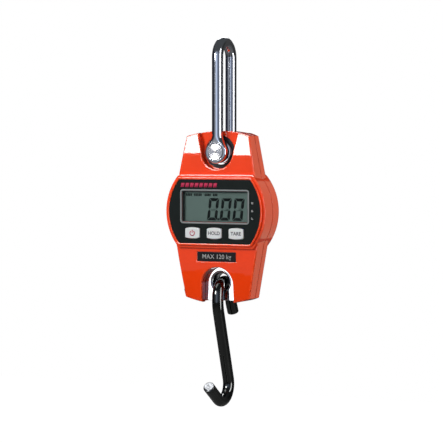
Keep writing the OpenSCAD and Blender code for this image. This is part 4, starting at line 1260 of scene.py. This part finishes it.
class CRANE_OT_stage(PieceOperator, bpy.types.Operator):
    """Pale floor, soft studio light and the camera"""

    bl_idname = "crane_scale.stage"
    bl_label = "Stage"

    def build(self):
        scene = bpy.context.scene
        scene.view_settings.view_transform = "Standard"
        scene.view_settings.look = "None"
        self.floor()
        self.world(scene)
        self.lights()
        self.camera(scene)

    def floor(self):
        bm = bmesh.new()
        bmesh.ops.create_grid(bm, x_segments=8, y_segments=8, size=2.5)
        floor = add_object("pale_floor", mesh_from("pale_floor", bm))
        clearance = 0.35
        floor.location.z = CAD_BOX[0].z - clearance
        paint = bpy.data.materials.new("pale_floor")
        paint.use_nodes = True
        shader = paint.node_tree.nodes["Principled BSDF"]
        shader.inputs["Base Color"].default_value = (0.08, 0.08, 0.08, 1)
        shader.inputs["Roughness"].default_value = 0.9
        direct = add_node(paint.node_tree, "ShaderNodeLightPath").outputs["Is Camera Ray"]
        glow = blend_colours(paint.node_tree, direct, (0.02, 0.02, 0.02), (1.0, 1.0, 1.0))
        paint.node_tree.links.new(glow, shader.inputs["Emission Color"])
        shader.inputs["Emission Strength"].default_value = 1.0
        floor.data.materials.append(paint)

    def world(self, scene):
        """A studio for the metal to show: bright and dark walls round the horizon, softer light elsewhere."""
        studio = bpy.data.worlds.new("studio")
        scene.world = studio
        studio.use_nodes = True
        tree = studio.node_tree
        tree.nodes.clear()
        way = add_node(tree, "ShaderNodeTexCoord").outputs["Generated"]
        x, y, z = add_node(tree, "ShaderNodeSeparateXYZ", [(0, way)]).outputs
        angle = maths(tree, "ARCTAN2", x, maths(tree, "MULTIPLY", y, -1.0))
        ramp = add_node(tree, "ShaderNodeValToRGB", [(0, mapped(tree, angle, -math.pi, math.pi, 0.0, 1.0))])
        walls = (
            (-180, (0.03, 0.03, 0.035)), (-75, (0.02, 0.02, 0.03)), (-48, (0.06, 0.07, 0.09)),
            (-30, (0.3, 0.31, 0.34)), (-21, (0.3, 0.31, 0.34)), (-15, (0.42, 0.48, 0.60)),
            (2, (0.85, 0.98, 1.25)), (18, (0.40, 0.47, 0.62)), (34, (0.17, 0.19, 0.25)),
            (58, (0.17, 0.19, 0.24)), (76, (0.8, 0.8, 0.82)), (94, (0.8, 0.8, 0.82)),
            (104, (0.03, 0.03, 0.03)), (140, (0.03, 0.03, 0.03)), (150, (0.06, 0.06, 0.06)),
            (168, (0.06, 0.06, 0.06)), (180, (0.03, 0.03, 0.035)),
        )
        elements = ramp.color_ramp.elements
        while len(elements) > 1:
            elements.remove(elements[-1])
        for i, (degrees, tint) in enumerate(walls):
            stop = elements[0] if i == 0 else elements.new((degrees + 180) / 360)
            stop.position = (degrees + 180) / 360
            stop.color = (*tint, 1)
        steep = mapped(tree, maths(tree, "ABSOLUTE", z), 0.30, 0.60, 0.0, 1.0)
        glow = blend_colours(tree, steep, ramp.outputs[0], (0.07, 0.075, 0.08))
        rays = add_node(tree, "ShaderNodeLightPath").outputs
        soft = blend_colours(tree, rays["Is Glossy Ray"], (0.34, 0.34, 0.35), glow)
        lit = add_node(tree, "ShaderNodeBackground", [("Color", soft), ("Strength", 1.0)])
        seen = add_node(tree, "ShaderNodeBackground", [("Color", (1, 1, 1, 1)), ("Strength", 1.0)])
        both = add_node(tree, "ShaderNodeMixShader", [
            (0, rays["Is Camera Ray"]), (1, lit.outputs[0]), (2, seen.outputs[0])
        ])
        add_node(tree, "ShaderNodeOutputWorld", [(0, both.outputs[0])])

    def lights(self):
        """Soft boxes. A fill does not show in gloss, and a glint shows only in the pieces it names."""
        shells, bright = ("front_shell", "rear_shell", "door_lid"), ("ground_load_cell", "hard_bush")
        white, warm = (1.0, 1.0, 1.0), (1.0, 0.78, 0.55)
        centre = Vector((0, 0, (CAD_BOX[0].z + CAD_BOX[1].z) / 2))
        for name, azimuth, height, far, wide, high, glow, tint, kind in (
            ("window_box", -26, 18.25, 1.1, 0.36, 0.30, 18, white, "box"),
            ("back_box", 205, 34, 1.2, 0.6, 0.4, 5, white, "box"),
            ("side_strip", 85, 8, 1.1, 0.24, 1.1, 7, white, "box"),
            ("top_glint", -20, 60, 1.0, 0.9, 0.8, 14, white, shells),
            ("side_glint", 152, 0, 1.1, 0.6, 1.5, 0.5, warm, shells),
            ("cell_glint", -26, 0, 1.1, 0.8, 0.8, 1.6, white, bright),
            ("tip_glint", -51, 55, 1.0, 0.5, 0.5, 1.6, white, ("plated_hook",)),
            ("front_fill", -20, 28, 1.3, 0.8, 0.8, 3.1, white, "fill"),
            ("right_fill", 95, 10, 1.3, 0.8, 1.0, 0.12, white, "fill"),
            ("back_fill", 190, 20, 1.3, 1.2, 1.2, 1.7, white, "fill"),
            ("left_fill", -110, 15, 1.3, 0.8, 1.0, 0.8, white, "fill"),
        ):
            box = bpy.data.lights.new(name, "AREA")
            box.shape = "RECTANGLE"
            box.size, box.size_y, box.energy = wide, high, glow * math.pi * wide * high
            box.color = tint
            lamp = self.stand(name, box, centre, azimuth, height, far)
            lamp.visible_camera = False
            lamp.visible_glossy = kind != "fill"
            if isinstance(kind, tuple):
                lamp.visible_diffuse = False
                lit = bpy.data.collections.new(name)
                for piece in kind:
                    lit.objects.link(bpy.data.objects[piece])
                lamp.light_linking.receiver_collection = lit

    def camera(self, scene):
        """A long lens, turned to the right of the front and a little above it."""
        azimuth, height, far = 26, 2.4, 1.35
        span, film = 0.310, 36
        right = Vector((math.cos(math.radians(azimuth)), math.sin(math.radians(azimuth)), 0))
        aim = Vector((0, 0, DISPLAY_Z - 7.35 * MM)) - right * (1.96 * MM)
        lens = bpy.data.cameras.new("camera")
        lens.sensor_width = film
        lens.lens = film * far / span
        scene.camera = self.stand("camera", lens, aim, azimuth, height, far)

    def stand(self, name, data, aim, azimuth, height, far):
        """Stands a lamp or a camera at a distance from aim, turned towards it; both angles in degrees."""
        a, e = math.radians(azimuth), math.radians(height)
        way = Vector((math.sin(a) * math.cos(e), -math.cos(a) * math.cos(e), math.sin(e)))
        made = add_object(name, data)
        made.location = aim + way * far
        made.rotation_euler = (-way).to_track_quat("-Z", "Y").to_euler()
        return made


OPERATORS = (
    CRANE_OT_housing, CRANE_OT_shackle, CRANE_OT_hook, CRANE_OT_load_cell, CRANE_OT_display, CRANE_OT_keys,
    CRANE_OT_electronics, CRANE_OT_batteries, CRANE_OT_door, CRANE_OT_labels, CRANE_OT_stage,
)


class CRANE_PT_panel(bpy.types.Panel):
    """Lists the pieces, sizes and colours of the scale"""

    bl_idname = "CRANE_PT_panel"
    bl_label = "Crane Scale"
    bl_space_type = "VIEW_3D"
    bl_region_type = "UI"
    bl_category = "Crane Scale"

    def draw(self, context):
        layout = self.layout
        for operator in OPERATORS:
            layout.operator(operator.bl_idname)
        for group in (context.scene.crane_sizes, context.scene.crane_colours):
            box = layout.box()
            for name in group.__annotations__:
                box.prop(group, name)


CLASSES = (ScaleSizes, ScaleColours, *OPERATORS, CRANE_PT_panel)


def register():
    for each in CLASSES:
        bpy.utils.register_class(each)
    bpy.types.Scene.crane_sizes = PointerProperty(type=ScaleSizes)
    bpy.types.Scene.crane_colours = PointerProperty(type=ScaleColours)


def unregister():
    del bpy.types.Scene.crane_colours
    del bpy.types.Scene.crane_sizes
    for each in reversed(CLASSES):
        bpy.utils.unregister_class(each)


def main():
    register()
    for operator in OPERATORS:
        family, action = operator.bl_idname.split(".")
        getattr(getattr(bpy.ops, family), action)()


if __name__ == "__main__":
    main()
